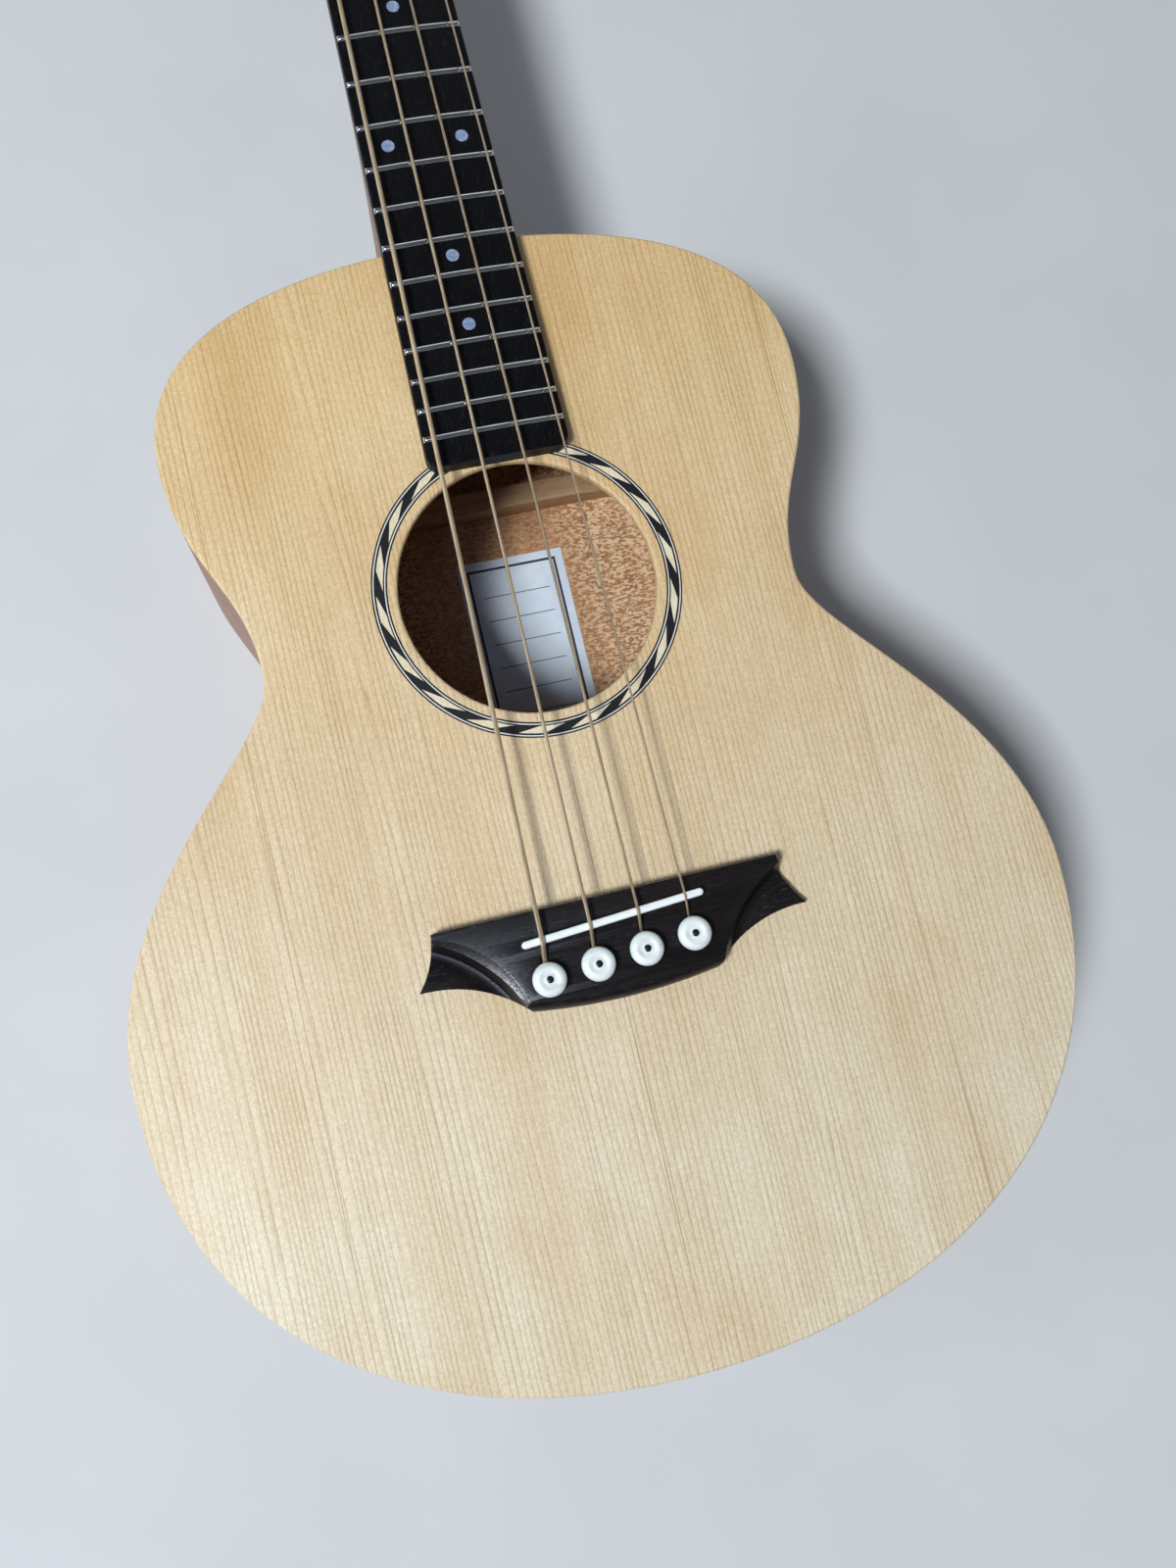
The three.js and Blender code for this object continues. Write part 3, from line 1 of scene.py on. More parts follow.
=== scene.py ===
from math import asin, atan2, copysign, cos, pi, radians, sin, sqrt, tan

import bmesh
import bpy
from bmesh import ops
from mathutils import Matrix, Vector, kdtree
from mathutils.geometry import interpolate_bezier


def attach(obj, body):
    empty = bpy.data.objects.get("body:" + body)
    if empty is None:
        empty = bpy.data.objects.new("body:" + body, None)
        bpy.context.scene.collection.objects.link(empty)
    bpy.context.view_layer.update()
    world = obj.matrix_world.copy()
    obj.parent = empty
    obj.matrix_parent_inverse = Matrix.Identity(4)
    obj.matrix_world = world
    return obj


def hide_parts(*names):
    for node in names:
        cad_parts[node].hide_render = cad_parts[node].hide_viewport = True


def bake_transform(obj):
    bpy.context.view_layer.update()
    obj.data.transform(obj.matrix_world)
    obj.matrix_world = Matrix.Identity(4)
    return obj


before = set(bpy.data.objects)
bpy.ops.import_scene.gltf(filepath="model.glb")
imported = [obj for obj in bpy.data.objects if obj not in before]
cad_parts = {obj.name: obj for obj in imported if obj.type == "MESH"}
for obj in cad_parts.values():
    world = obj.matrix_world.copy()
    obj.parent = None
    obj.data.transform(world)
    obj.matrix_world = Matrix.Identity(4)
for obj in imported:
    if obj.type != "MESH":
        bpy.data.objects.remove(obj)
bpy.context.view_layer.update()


# Camera. The photograph was taken by hand from above the bass side of the bridge, looking up the neck, with
# a phone's wide lens. The place and turn were worked out from the frets, the bridge and the soundhole.
MM = 0.001
body_depth = 104.0
camera_place = (-72.637, -14.384, 497.137 + body_depth)
camera_right = (0.96522808, -0.23248832, 0.11951543)
camera_down = (-0.2130257, -0.964538, -0.15584124)
camera_forward = (0.15150844, 0.12496248, -0.98052515)


def added(name, data):
    thing = bpy.data.objects.new(name, data)
    bpy.context.scene.collection.objects.link(thing)
    return thing


lens = bpy.data.cameras.new("photo_camera")
lens.lens = 31.47
lens.sensor_width = 36.0
lens.clip_start = 0.01
camera = added("photo_camera", lens)
camera_turn = Matrix((camera_right, [-c for c in camera_down], [-c for c in camera_forward])).transposed()
camera.matrix_world = Matrix.Translation(Vector(camera_place) * MM) @ camera_turn.to_4x4()
bpy.context.scene.camera = camera


# Back plate. A 2.8 mm plate of mahogany in two halves opened like a book and glued along the middle. Its
# outer edge is rounded over; the outside is satin lacquered and the inside is bare.
scale_length = 597.0
body_tail = -163.2
body_top = scale_length / 2 ** (14 / 12) + 2.5
hip, waist, chest = (175.07, -20.0), (102.8, 112.5), (124.5, 200.3)
back_over, back_round = 2.8, 1.2


def linear(code):
    """An sRGB hex colour as the linear values that a shader reads."""
    parts = [int(code[k:k + 2], 16) / 255 for k in (1, 3, 5)]
    return (*[p / 12.92 if p <= 0.04045 else ((p + 0.055) / 1.055) ** 2.4 for p in parts], 1.0)


def node(kind, settings=None, **inputs):
    """Adds a node to the tree at work. Inputs are named, with _ for spaces, or numbered as in0."""
    made = tree.nodes.new(kind)
    for key, value in (settings or {}).items():
        setattr(made, key, value)
    for key, value in inputs.items():
        socket = made.inputs[int(key[2:]) if key[2:].isdigit() else key.replace("_", " ")]
        if isinstance(value, bpy.types.NodeSocket):
            tree.links.new(value, socket)
        else:
            socket.default_value = value
    return made


def ramp(factor, *stops):
    """A ramp through hex colours at their places from 0 to 1."""
    made = node("ShaderNodeValToRGB", Fac=factor)
    while len(made.color_ramp.elements) < len(stops):
        made.color_ramp.elements.new(0.5)
    for element, (place, code) in zip(made.color_ramp.elements, stops):
        element.position = place
        element.color = linear(code)
    return made.outputs["Color"]


def reckon(operation, *values):
    inputs = {f"in{k}": value for k, value in enumerate(values)}
    return node("ShaderNodeMath", {"operation": operation}, **inputs).outputs[0]


def times(product, *factors):
    for factor in factors:
        product = reckon("MULTIPLY", product, factor)
    return product


def ranged(value, low, high, to_low=0.0, to_high=1.0, way="LINEAR"):
    """A value taken from one range to another and held at its ends."""
    return node("ShaderNodeMapRange", {"interpolation_type": way}, Value=value, From_Min=low,
                From_Max=high, To_Min=to_low, To_Max=to_high).outputs["Result"]


def mixed(factor, first, second, blend="MIX"):
    """Two colours mixed, each a socket or a hex colour."""
    pair = [linear(c) if isinstance(c, str) else c for c in (first, second)]
    settings = {"data_type": "RGBA", "blend_type": blend}
    return node("ShaderNodeMix", settings, in0=factor, in6=pair[0], in7=pair[1]).outputs[2]


def noise(place, size, detail=2.0, rough=0.5):
    """A noise whose features have the given sizes in millimetres along X, Y and Z."""
    sized = node("ShaderNodeMapping", Vector=place, Scale=[1 / s for s in size]).outputs["Vector"]
    return node("ShaderNodeTexNoise", Vector=sized, Scale=1.0, Detail=detail, Roughness=rough).outputs["Fac"]


def relief(height, depth):
    """Bump of a depth in millimetres."""
    made = node("ShaderNodeBump", Height=height, Distance=depth * MM, Strength=1.0)
    tree.links.new(made.outputs["Normal"], shader.inputs["Normal"])


def painted(colour):
    tree.links.new(colour, shader.inputs["Base Color"])


def new_material(name, roughness, **sockets):
    """Starts work on a material. Gives the material and its object coordinates in millimetres."""
    global tree, shader
    material = bpy.data.materials.new(name)
    material.use_nodes = True
    tree = material.node_tree
    shader = tree.nodes["Principled BSDF"]
    for key, value in {"Roughness": roughness, **sockets}.items():
        shader.inputs[key.replace("_", " ")].default_value = value
    place = node("ShaderNodeTexCoord").outputs["Object"]
    scaled = node("ShaderNodeMapping", Vector=place, Scale=[1 / MM] * 3).outputs["Vector"]
    return material, scaled


def split(place):
    """The X, Y and Z of a vector."""
    return list(node("ShaderNodeSeparateXYZ", Vector=place).outputs)


def joined(x, y, z):
    return node("ShaderNodeCombineXYZ", X=x, Y=y, Z=z).outputs["Vector"]


def own_run():
    """The distance along a bent piece, its run attribute."""
    return node("ShaderNodeAttribute", {"attribute_name": "run"}).outputs["Fac"]


def pored_wood(name, roughness, pale, dark, pore, turn=0.0, run=False, fleck=None, depth=0.08, **sockets):
    """An open-pored wood with its grain along Y, turned about Z, or along the run attribute. A wood with
    flecks is opened like a book, and has them on its bare inner face."""
    material, place = new_material(name, roughness, **sockets)
    x, y, z = split(place)
    off_middle = reckon("ABSOLUTE", x)
    if run:
        place = joined(z, own_run(), 0.0)
    if fleck:
        place = joined(off_middle, y, z)
    if turn:
        place = node("ShaderNodeMapping", Vector=place, Rotation=(0, 0, turn)).outputs["Vector"]
    bands = noise(place, (7, 260, 12), 3.0, 0.6)
    fibre = noise(place, (0.5, 16, 0.7), 2.0, 0.6)
    pores = noise(place, (0.34, 4.6, 0.5), 1.0)
    colour = ramp(bands, (0.36, pale), (0.64, dark))
    colour = mixed(0.4, colour, ramp(fibre, (0.35, pale), (0.68, dark)))
    sunk = ramp(pores, (0.6, "#000000"), (0.7, "#ffffff"))
    colour = mixed(times(sunk, 0.6), colour, pore)
    if fleck:
        grit = noise(place, (1.9, 0.85, 1.9), 2.0, 0.6)
        specks = ramp(grit, (0.46, "#000000"), (0.55, "#ffffff"))
        inside = reckon("GREATER_THAN", z, back_over - 0.1)
        outward = ranged(off_middle, 28.0, 46.0, 0.3, 0.85)
        colour = mixed(times(specks, times(inside, outward)), colour, fleck)
    painted(colour)
    relief(times(sunk, -1.0), depth)
    return material


def half_outline(inset=0.0):
    """The treble half of the body's outline from tail to neck, drawn in by a distance."""
    low, middle, high = waist[1] - hip[1], chest[1] - waist[1], body_top - chest[1]
    spans = [
        ((0, body_tail), (0.576 * hip[0], body_tail), (hip[0], hip[1] - 0.635 * (hip[1] - body_tail)), hip),
        (hip, (hip[0], hip[1] + 0.508 * low), (waist[0], waist[1] - 0.183 * low), waist),
        (waist, (waist[0], waist[1] + 0.427 * middle), (chest[0], chest[1] - 0.486 * middle), chest),
        (chest, (chest[0], chest[1] + 0.694 * high), (0.588 * chest[0], body_top), (0, body_top)),
    ]
    line = [Vector((0.0, body_tail))]
    for span in spans:
        line += interpolate_bezier(*[Vector(p) for p in span], 26)[1:]
    moved = []
    for k, point in enumerate(line):
        run = (line[min(k + 1, len(line) - 1)] - line[max(k - 1, 0)]).normalized()
        if k in (0, len(line) - 1):
            run = Vector((1.0 if k == 0 else -1.0, 0.0))
        moved.append(point + Vector((-run.y, run.x)) * inset)
    return moved


def meshed(holder):
    """An object as a bmesh, its curves or modifiers worked out."""
    mesh = bpy.data.meshes.new_from_object(holder.evaluated_get(bpy.context.evaluated_depsgraph_get()))
    bpy.data.objects.remove(holder)
    bm = bmesh.new()
    bm.from_mesh(mesh)
    bpy.data.meshes.remove(mesh)
    return bm


def stored(bm, name):
    mesh = bpy.data.meshes.new(name)
    bm.to_mesh(mesh)
    bm.free()
    return mesh


def faced(bm, weld=0.0):
    """Welds points that lie within a distance in millimetres, and turns the faces outward."""
    if weld:
        ops.remove_doubles(bm, verts=bm.verts, dist=weld * MM)
    ops.recalc_face_normals(bm, faces=bm.faces)
    return bm


def trimmed(bm, height, way):
    """Cuts level at a height, keeps what is above (way 1) or below (-1), and closes the cut."""
    cut = ops.bisect_plane(bm, geom=bm.verts[:] + bm.edges[:] + bm.faces[:], dist=1e-7, clear_inner=True,
                           plane_co=Vector((0, 0, height)) * MM, plane_no=(0, 0, way))
    rim = [e for e in cut["geom_cut"] if isinstance(e, bmesh.types.BMEdge)]
    ops.triangle_fill(bm, edges=rim, use_beauty=True)
    return bm


def flat_plate(loops, low, high, edge, round_low=False, round_high=True):
    """A plate with rounded edges from closed loops of points: its outline, and holes."""
    foot = low if round_low else low - 2 * edge
    roof = high if round_high else high + 2 * edge
    curve = bpy.data.curves.new("plate", "CURVE")
    curve.dimensions = "2D"
    curve.fill_mode = "BOTH"
    for loop in loops:
        spline = curve.splines.new("POLY")
        spline.points.add(len(loop) - 1)
        for point, (x, y) in zip(spline.points, loop):
            point.co = (x * MM, y * MM, 0, 1)
        spline.use_cyclic_u = True
    curve.bevel_depth = edge * MM
    curve.bevel_resolution = 3
    curve.offset = -edge * MM
    curve.extrude = (roof - foot) / 2 * MM - edge * MM
    bm = meshed(added("plate", curve))
    ops.translate(bm, verts=bm.verts, vec=(0, 0, (roof + foot) / 2 * MM))
    ops.remove_doubles(bm, verts=bm.verts, dist=0.002 * MM)
    if not round_low:
        trimmed(bm, low, 1)
    if not round_high:
        trimmed(bm, high, -1)
    return faced(bm)


def finished(name, bm, material, solid, body="body", sharp=32):
    """Makes a piece of a bmesh, smooth but for its sharp edges, on a body, in place of a solid."""
    mesh = stored(bm, name)
    mesh.shade_smooth()
    mesh.set_sharp_from_angle(angle=radians(sharp))
    mesh.materials.append(material)
    piece = added(name, mesh)
    if body:
        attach(piece, body)
    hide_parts(solid)
    return piece


half = half_outline()
outline = half + [Vector((-p.x, p.y)) for p in reversed(half[1:-1])]
# Mahogany: red-brown, coarse, with pale flecks where the open pores are filled with dust
mahogany_plate = pored_wood("mahogany_plate", 0.5, "#c68e5e", "#945d36", "#5c3720", fleck="#f5d2a8")
finished("back_halves", flat_plate([outline], 0.0, back_over, back_round, True, False), mahogany_plate,
         "back_plate")


# Back braces. Four flat bars of light wood across the back, with scooped ends, glued down and sanded round.
# They keep their solids' shapes, with wood and rounded edges added.
def dressed(name, material, round_over):
    """Gives a CAD piece its wood and rounded edges."""
    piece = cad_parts[name]
    piece.data.materials.clear()
    piece.data.materials.append(material)
    soft = piece.modifiers.new("round_over", "BEVEL")
    soft.width = round_over * MM
    soft.segments = 2
    soft.limit_method = "ANGLE"
    soft.angle_limit = radians(40)


def brace_wood(name, turn):
    """Straight-grained spruce with its grain turned along the brace."""
    return pored_wood(name, 0.62, "#c9a47a", "#a8805a", "#8a6544", turn, depth=0.03)


across_wood = brace_wood("brace_wood_across", pi / 2)
for number in (1, 2, 3, 4):
    dressed(f"back_brace_{number}", across_wood, 1.2)


# Label. A plain sheet of white paper, glued inside the back where it is read through the soundhole. It is
# printed with a border and blank lines only.
label_x, label_y = (-15.5, 33.0), (85.05, 171.05)
label_foot, label_face, paper_edge = 2.85, 3.2, 0.1
border_inset, border_half, rule_pitch, rule_half, rule_inset = 4.2, 0.55, 11.0, 0.22, 9.0
printed_paper, place = new_material("printed_paper", 0.75)
x, y, z = split(place)
paper = ramp(noise(place, (6, 6, 6), 3.0), (0.3, "#d9e1ea"), (0.7, "#e4eaf0"))
inward = [reckon("SUBTRACT", (high - low) / 2,
                 reckon("ABSOLUTE", reckon("SUBTRACT", part, (low + high) / 2)))
          for part, (low, high) in ((x, label_x), (y, label_y))]
inward = reckon("MINIMUM", *inward)
border = reckon("COMPARE", inward, border_inset, border_half)
on_rule = reckon("LESS_THAN", reckon("PINGPONG", y, rule_pitch / 2), rule_half)
rules = times(on_rule, reckon("GREATER_THAN", inward, rule_inset), 0.8)
painted(mixed(reckon("MAXIMUM", border, rules), paper, "#2f3440"))
label_loop = [(label_x[i], label_y[j]) for i, j in ((0, 0), (1, 0), (1, 1), (0, 1))]
label_bm = flat_plate([label_loop], label_foot, label_face, paper_edge)
finished("label_sheet", label_bm, printed_paper, "label")


# Neck block and tail block. Solid mahogany between back and top; the neck block is slotted for the tenon
# and bored for two screws. Their corners are eased before gluing.
block_wood = pored_wood("mahogany_block", 0.62, "#9c6f54", "#784c36", "#45281b", pi / 2)
for name in ("neck_block", "tail_block"):
    dressed(name, block_wood, 0.8)


# Sides. Two ribs of mahogany, 2.4 mm thick, bent on a hot iron and joined at the tail. The grain runs
# round the body; they are satin lacquered outside.
rim_low, rim_high = back_over, 101.0
side_thickness = 2.4
end_pin_height = 52
body_sides = ((-1, "bass"), (1, "treble"))
toward_tail, toward_nut = [Matrix.Rotation(way * pi / 2, 3, "X") for way in (1, -1)]


def boolean(bm, operation, *others):
    work, *tools = [added("work", stored(shape, "work")) for shape in (bm, *others)]
    for tool in tools:
        step = work.modifiers.new("step", "BOOLEAN")
        step.operation = operation
        step.solver = "EXACT"
        step.object = tool
    done = meshed(work)
    for tool in tools:
        bpy.data.objects.remove(tool)
    ops.remove_doubles(done, verts=done.verts, dist=0.0005 * MM)
    ops.holes_fill(done, edges=[e for e in done.edges if e.is_boundary], sides=0)
    return done


def carved(bm, *cutters):
    return boolean(bm, "DIFFERENCE", *cutters)


def shifted(x, y, z):
    return Matrix.Translation(Vector((x, y, z)) * MM)


def placed(bm, matrix):
    ops.transform(bm, matrix=matrix, verts=bm.verts)
    return bm


def turned(profile, steps, place=(0, 0, 0), turn=None):
    """A solid spun from a profile of (radius, height), then turned and placed."""
    bm = bmesh.new()
    ring = [bm.verts.new((r * MM, 0, h * MM)) for r, h in profile]
    line = [bm.edges.new(pair) for pair in zip(ring, ring[1:])]
    ops.spin(bm, geom=ring + line, cent=(0, 0, 0), axis=(0, 0, 1), angle=2 * pi, steps=steps,
             use_merge=True, use_duplicate=False)
    faced(bm, 0.0005)
    if turn is not None:
        placed(bm, turn.to_4x4())
    ops.translate(bm, verts=bm.verts, vec=Vector(place) * MM)
    return bm


def cylinder(radius, low, high, steps, place=(0, 0, 0), turn=None):
    return turned([(0, low), (radius, low), (radius, high), (0, high)], steps, place, turn)


def block(low, high):
    bm = bmesh.new()
    middle = (Vector(low) + Vector(high)) / 2 * MM
    size = (Vector(high) - Vector(low)) * MM
    ops.create_cube(bm, size=1.0, matrix=Matrix.Translation(middle) @ Matrix.Diagonal((*size, 1.0)))
    return bm


def ribbon(outer, inner, low, high):
    """A bent strip between two lines of points, from one height to another."""
    bm = bmesh.new()
    line = [bm.verts.new((x * MM, y * MM, low * MM)) for x, y in outer]
    edges = [bm.edges.new(pair) for pair in zip(line, line[1:])]
    known = {(v.co.x, v.co.y): k for k, v in enumerate(line)}
    grown = ops.extrude_edge_only(bm, edges=edges)["geom"]
    for vertex in [g for g in grown if isinstance(g, bmesh.types.BMVert)]:
        x, y = inner[known[(vertex.co.x, vertex.co.y)]]
        vertex.co = (x * MM, y * MM, low * MM)
    raised = ops.extrude_face_region(bm, geom=bm.faces[:])["geom"]
    raised = [g for g in raised if isinstance(g, bmesh.types.BMVert)]
    ops.translate(bm, verts=raised, vec=(0, 0, (high - low) * MM))
    return faced(bm)


def marked(bm, line):
    """Gives each vertex its distance along a line of points as the run attribute."""
    layer = bm.verts.layers.float.new("run")
    nearest = kdtree.KDTree(len(line))
    lengths, total = [], 0.0
    for k, point in enumerate(line):
        total += (point - line[k - 1]).length if k else 0.0
        lengths.append(total)
        nearest.insert(point.to_3d() * MM, k)
    nearest.balance()
    for vertex in bm.verts:
        flat = vertex.co if len(line[0]) == 3 else (vertex.co.x, vertex.co.y, 0)
        vertex[layer] = lengths[nearest.find(flat)[1]]
    return bm


rib_wood = pored_wood("mahogany_rib", 0.42, "#a8785b", "#86583f", "#5d3927", run=True)
for side, name in body_sides:
    outer_line, inner_line = [[Vector((side * max(p.x, 0.15), p.y)) for p in line]
                              for line in (half, half_outline(side_thickness))]
    neck_gap = block((-12.4, body_top - 4, 0), (12.4, body_top + 4, body_depth + 4))
    pin_hole = cylinder(4.85, -30, 5, 32, (0, body_tail, end_pin_height), toward_tail)
    rib = carved(ribbon(outer_line, inner_line, rim_low, rim_high), neck_gap, pin_hole)
    finished(f"{name}_rib", marked(rib, outer_line), rib_wood, f"side_{name}")


# Linings. Strips glued inside the rims to widen the glue joint, sawn almost through every few
# millimetres so that they bend, with a sloping inner face.
lining_width, lining_foot, lining_height, lining_web = 5.5, 5, 14.0, 1.0
lining_start, lining_stop = 36.0, 39.0
kerf_pitch, kerf_width = 7.5, 1.0


def lofted(rings, into=None):
    """A closed solid bridged through rings of points."""
    bm = into or bmesh.new()
    loops = []
    for ring in rings:
        verts = [bm.verts.new(Vector(p) * MM) for p in ring]
        loops.append([bm.edges.new(pair) for pair in zip(verts, verts[1:] + verts[:1])])
    for first, second in zip(loops, loops[1:]):
        ops.bridge_loops(bm, edges=first + second)
    ops.holes_fill(bm, edges=loops[0] + loops[-1], sides=0)
    return faced(bm)


def resampled(line, pitch):
    """Points at an even pitch along a line of points."""
    done, target, total = [line[0]], pitch, 0.0
    for a, b in zip(line, line[1:]):
        step = (b - a).length
        while total + step >= target:
            done.append(a.lerp(b, (target - total) / step))
            target += pitch
        total += step
    return done


lining_wood = brace_wood("lining_wood", 0.0)
uncut = 1 - kerf_width / kerf_pitch
for side, name in body_sides:
    line = [Vector((side * p.x, p.y)) for p in half_outline(side_thickness + 0.05)]
    middle = len(line) // 2
    line = [p for k, p in enumerate(line) if abs(p.x) > (lining_start if k < middle else lining_stop)]
    stations = resampled(line, kerf_pitch)
    for level, foot, sense in (("back", rim_low + 0.1, 1), ("top", rim_high - 0.1, -1)):
        bm = bmesh.new()
        for here, there in zip(stations, stations[1:]):
            onward = there - here
            across = Vector((-onward.y, onward.x)).normalized() * side
            rings = []
            for share, wide in zip((0, uncut, uncut, 1), [lining_width] * 2 + [lining_web] * 2):
                p = here + onward * share
                q, web = p + across * wide, p + across * lining_web
                slope, roof = foot + sense * lining_foot, foot + sense * lining_height
                rings.append([(*p, foot), (*q, foot), (*q, slope), (*web, roof), (*p, roof)])
            lofted(rings[:2], bm)
            lofted(rings[2:], bm)
        finished(f"lining_{level}_{name}_blocks", bm, lining_wood, f"lining_{level}_{name}")


# Soundboard. A 3 mm plate of Sitka spruce, quarter-sawn, with two wing strips glued on at the sides. It is
# sanded, sprayed with a thin satin lacquer, and rounded over along its rim.
top_low, top_high = 101.0, body_depth
rim_round = 1.3
hole_centre, hole_radius, round_steps = 127.74, 48.9, 144
wing_seam = 114.0
rosette_inner, rosette_outer = 52.8, 58.75
pin_pitch, pin_slant = 18.2, radians(4.2)
pin_steps = [pin_pitch * k for k in (-1.5, -0.5, 0.5, 1.5)]
notch_side, notch_reach, rise_reach = 0.4, 4.1, 3.7
pin_places = [(step * cos(pin_slant), -15.4 + step * sin(pin_slant)) for step in pin_steps]
string_sizes = [1.9, 1.4, 1.15, 0.9]
string_names = ["e", "a", "d", "g"]

# Sitka spruce: cream wood with a fine honey-coloured line at each year's end, about 2.4 mm apart, set off in
# low relief by sanding, faint stains, a glue line a little off the middle, wings of other grain, and a
# painted sheen
year_width, top_joint, bass_lean = 2.4, -1.0, 0.02
spruce, place = new_material("sitka_spruce", 0.45, Specular_IOR_Level=0.3, Coat_Weight=0.05,
                             Coat_Roughness=0.3)
x, y, z = split(place)
off_middle = reckon("ABSOLUTE", x)
in_wing = reckon("GREATER_THAN", off_middle, wing_seam)
leaning = times(reckon("LESS_THAN", x, top_joint), bass_lean, y)
sway = noise(place, (30, 420, 60))
crowd = noise(place, (14, 900, 60))
shift = reckon("ADD", reckon("MULTIPLY_ADD", crowd, 9.0, times(sway, 8.0)), leaning)
across = reckon("MULTIPLY_ADD", in_wing, 1.3, reckon("ADD", x, shift))
wobble = noise(place, (2.4, 34, 6))
years = reckon("DIVIDE", reckon("MULTIPLY_ADD", wobble, 0.7, across), year_width)
late = ramp(reckon("FRACT", years), (0.0, "#606060"), (0.12, "#000000"), (0.5, "#101010"),
            (0.82, "#b0b0b0"), (0.93, "#ffffff"), (1.0, "#606060"))
late = times(late, ranged(noise(place, (11, 130, 20), 2.0, 0.6), 0.35, 0.65, 0.5))
rings = joined(across, y, z)
fibre = noise(rings, (0.42, 30, 8), 3.0, 0.65)
broad = noise(rings, (22, 600, 40))
stain = noise(place, (60, 110, 60), 3.0, 0.55)
peel = noise(place, (0.9, 1.2, 0.9), 3.0, 0.65)
base = mixed(late, "#efe2c9", "#bb9e72")
base = mixed(0.45, base, ramp(fibre, (0.3, "#f3e9d4"), (0.7, "#d3c09d")))
for share, cloud, clear, dark in ((0.35, broad, 0.35, (0.7, "#e9dbc0")),
                                  (0.6, stain, 0.38, (0.68, "#efddc6")),
                                  (0.42, peel, 0.36, (0.64, "#d2c3ab"))):
    base = mixed(share, base, ramp(cloud, (clear, "#ffffff"), dark), "MULTIPLY")
# Painted sheen: the top is painted paler towards the tail and more golden towards the neck, standing in for
# the pale reflection of light on the lower bout
painted_sheen_gold = mixed(1.0, base, "#ffeac8", "MULTIPLY")
base = mixed(ranged(y, -90.0, 230.0), base, painted_sheen_gold)
wing_line = reckon("COMPARE", off_middle, wing_seam, 0.22)
faded = ranged(noise(place, (400, 30, 400)), 0.4, 0.55, 0.2, 0.8)
middle_line = times(reckon("COMPARE", x, top_joint, 0.2), faded)
glue = reckon("MAXIMUM", times(wing_line, 0.5), middle_line)
painted(mixed(glue, base, "#a27f4e"))
relief(reckon("MULTIPLY_ADD", late, -0.8, peel), 0.15)


def shares(count, whole=1.0):
    """Even steps from nothing to the whole."""
    return [whole * k / count for k in range(count + 1)]


def hoop(inner, outer, low, high):
    """A flat ring round the soundhole."""
    profile = [(inner, low), (outer, low), (outer, high), (inner, high), (inner, low)]
    return turned(profile, round_steps, (0, hole_centre, 0))


def pin_borers(low, high):
    """The cutters for the pin holes and for the notches that the strings rise through."""
    holes = [cylinder(3.6, low, high, 24, (x, y, 0)) for x, y in pin_places]
    notches = [block((x - d / 2 - notch_side, y, low), (x + d / 2 + notch_side, y + notch_reach + d, high))
               for (x, y), d in zip(pin_places, string_sizes)]
    return holes + notches


hole_loop = [(hole_radius * cos(a), hole_centre + hole_radius * sin(a))
             for a in shares(round_steps, 2 * pi)[:-1]]
top_plate = flat_plate([outline, hole_loop], top_low, top_high, rim_round)
channel = hoop(rosette_inner - 0.03, rosette_outer + 0.03, 102.9, 106)
finished("soundboard_plate", carved(top_plate, channel, *pin_borers(90, 125)), spruce, "soundboard")


# Rosette. Inlaid in a channel round the soundhole: a rope of slanted black and pale blocks between two
# sets of black and white lines, all levelled with the top before the lacquer.
rosette_floor = 103.05
line_edges = [rosette_outer, 58.2, 57.76, 57.05, 54.35, 53.85, 53.42, rosette_inner]
rope_count, rope_width, rope_slant, rope_start = 18, 9.9, 4.1, 12.3
hair = 0.012


def clouded(name, roughness, size, *stops, rough=0.6, **sockets):
    """A material with a ramp of colours over a noise."""
    material, place = new_material(name, roughness, **sockets)
    painted(ramp(noise(place, size, 3.0, rough), *stops))
    return material


def inlay(name, pale, dark, roughness=0.4):
    """Thin dyed wood or plastic under the lacquer."""
    return clouded(name, roughness, (1.2, 3.5, 1.2), (0.35, pale), (0.68, dark), Coat_Weight=0.15,
                   Coat_Roughness=0.3)


def gathered(bms):
    """Several bmeshes as one, as loose shells."""
    whole = bms[0]
    for part in bms[1:]:
        spare = stored(part, "part")
        whole.from_mesh(spare)
        bpy.data.meshes.remove(spare)
    return whole


def inlay_lines(*numbers):
    """Lines of the rosette, numbered from the outside in."""
    return [hoop(line_edges[k + 1] + hair, line_edges[k] - hair, rosette_floor, top_high) for k in numbers]


def rope_blocks(first, width):
    """The rope's blocks of one colour, the outer edge of each turned clockwise of its inner edge."""
    blocks = []
    for number in range(rope_count):
        inner_line, outer_line = [], []
        for share in shares(5):
            angle = rope_start + rope_pitch * (first + number) + width * (share - 0.5)
            for line, radius, slant in ((inner_line, line_edges[4] + hair, rope_slant),
                                        (outer_line, line_edges[3] - hair, -rope_slant)):
                a = radians(angle + slant)
                line.append(Vector((radius * cos(a), hole_centre + radius * sin(a))))
        blocks.append(ribbon(outer_line, inner_line, rosette_floor, top_high))
    return blocks


rope_pitch = 360 / rope_count
black_inlay = inlay("black_dyed_inlay", "#0e0e10", "#18171a")
white_inlay = inlay("white_inlay", "#e9e6dc", "#dcd6c6")
cream_inlay = inlay("maple_inlay", "#eadcbe", "#dac8a2", 0.42)
for name, bms, material in (("black_lines", inlay_lines(0, 2, 4, 6), black_inlay),
                            ("white_lines", inlay_lines(1, 5), white_inlay),
                            ("black_blocks", rope_blocks(0, rope_width), black_inlay),
                            ("pale_blocks", rope_blocks(0.5, rope_pitch - rope_width - 0.03), cream_inlay)):
    finished(f"rosette_{name}", gathered(bms), material, "rosette")


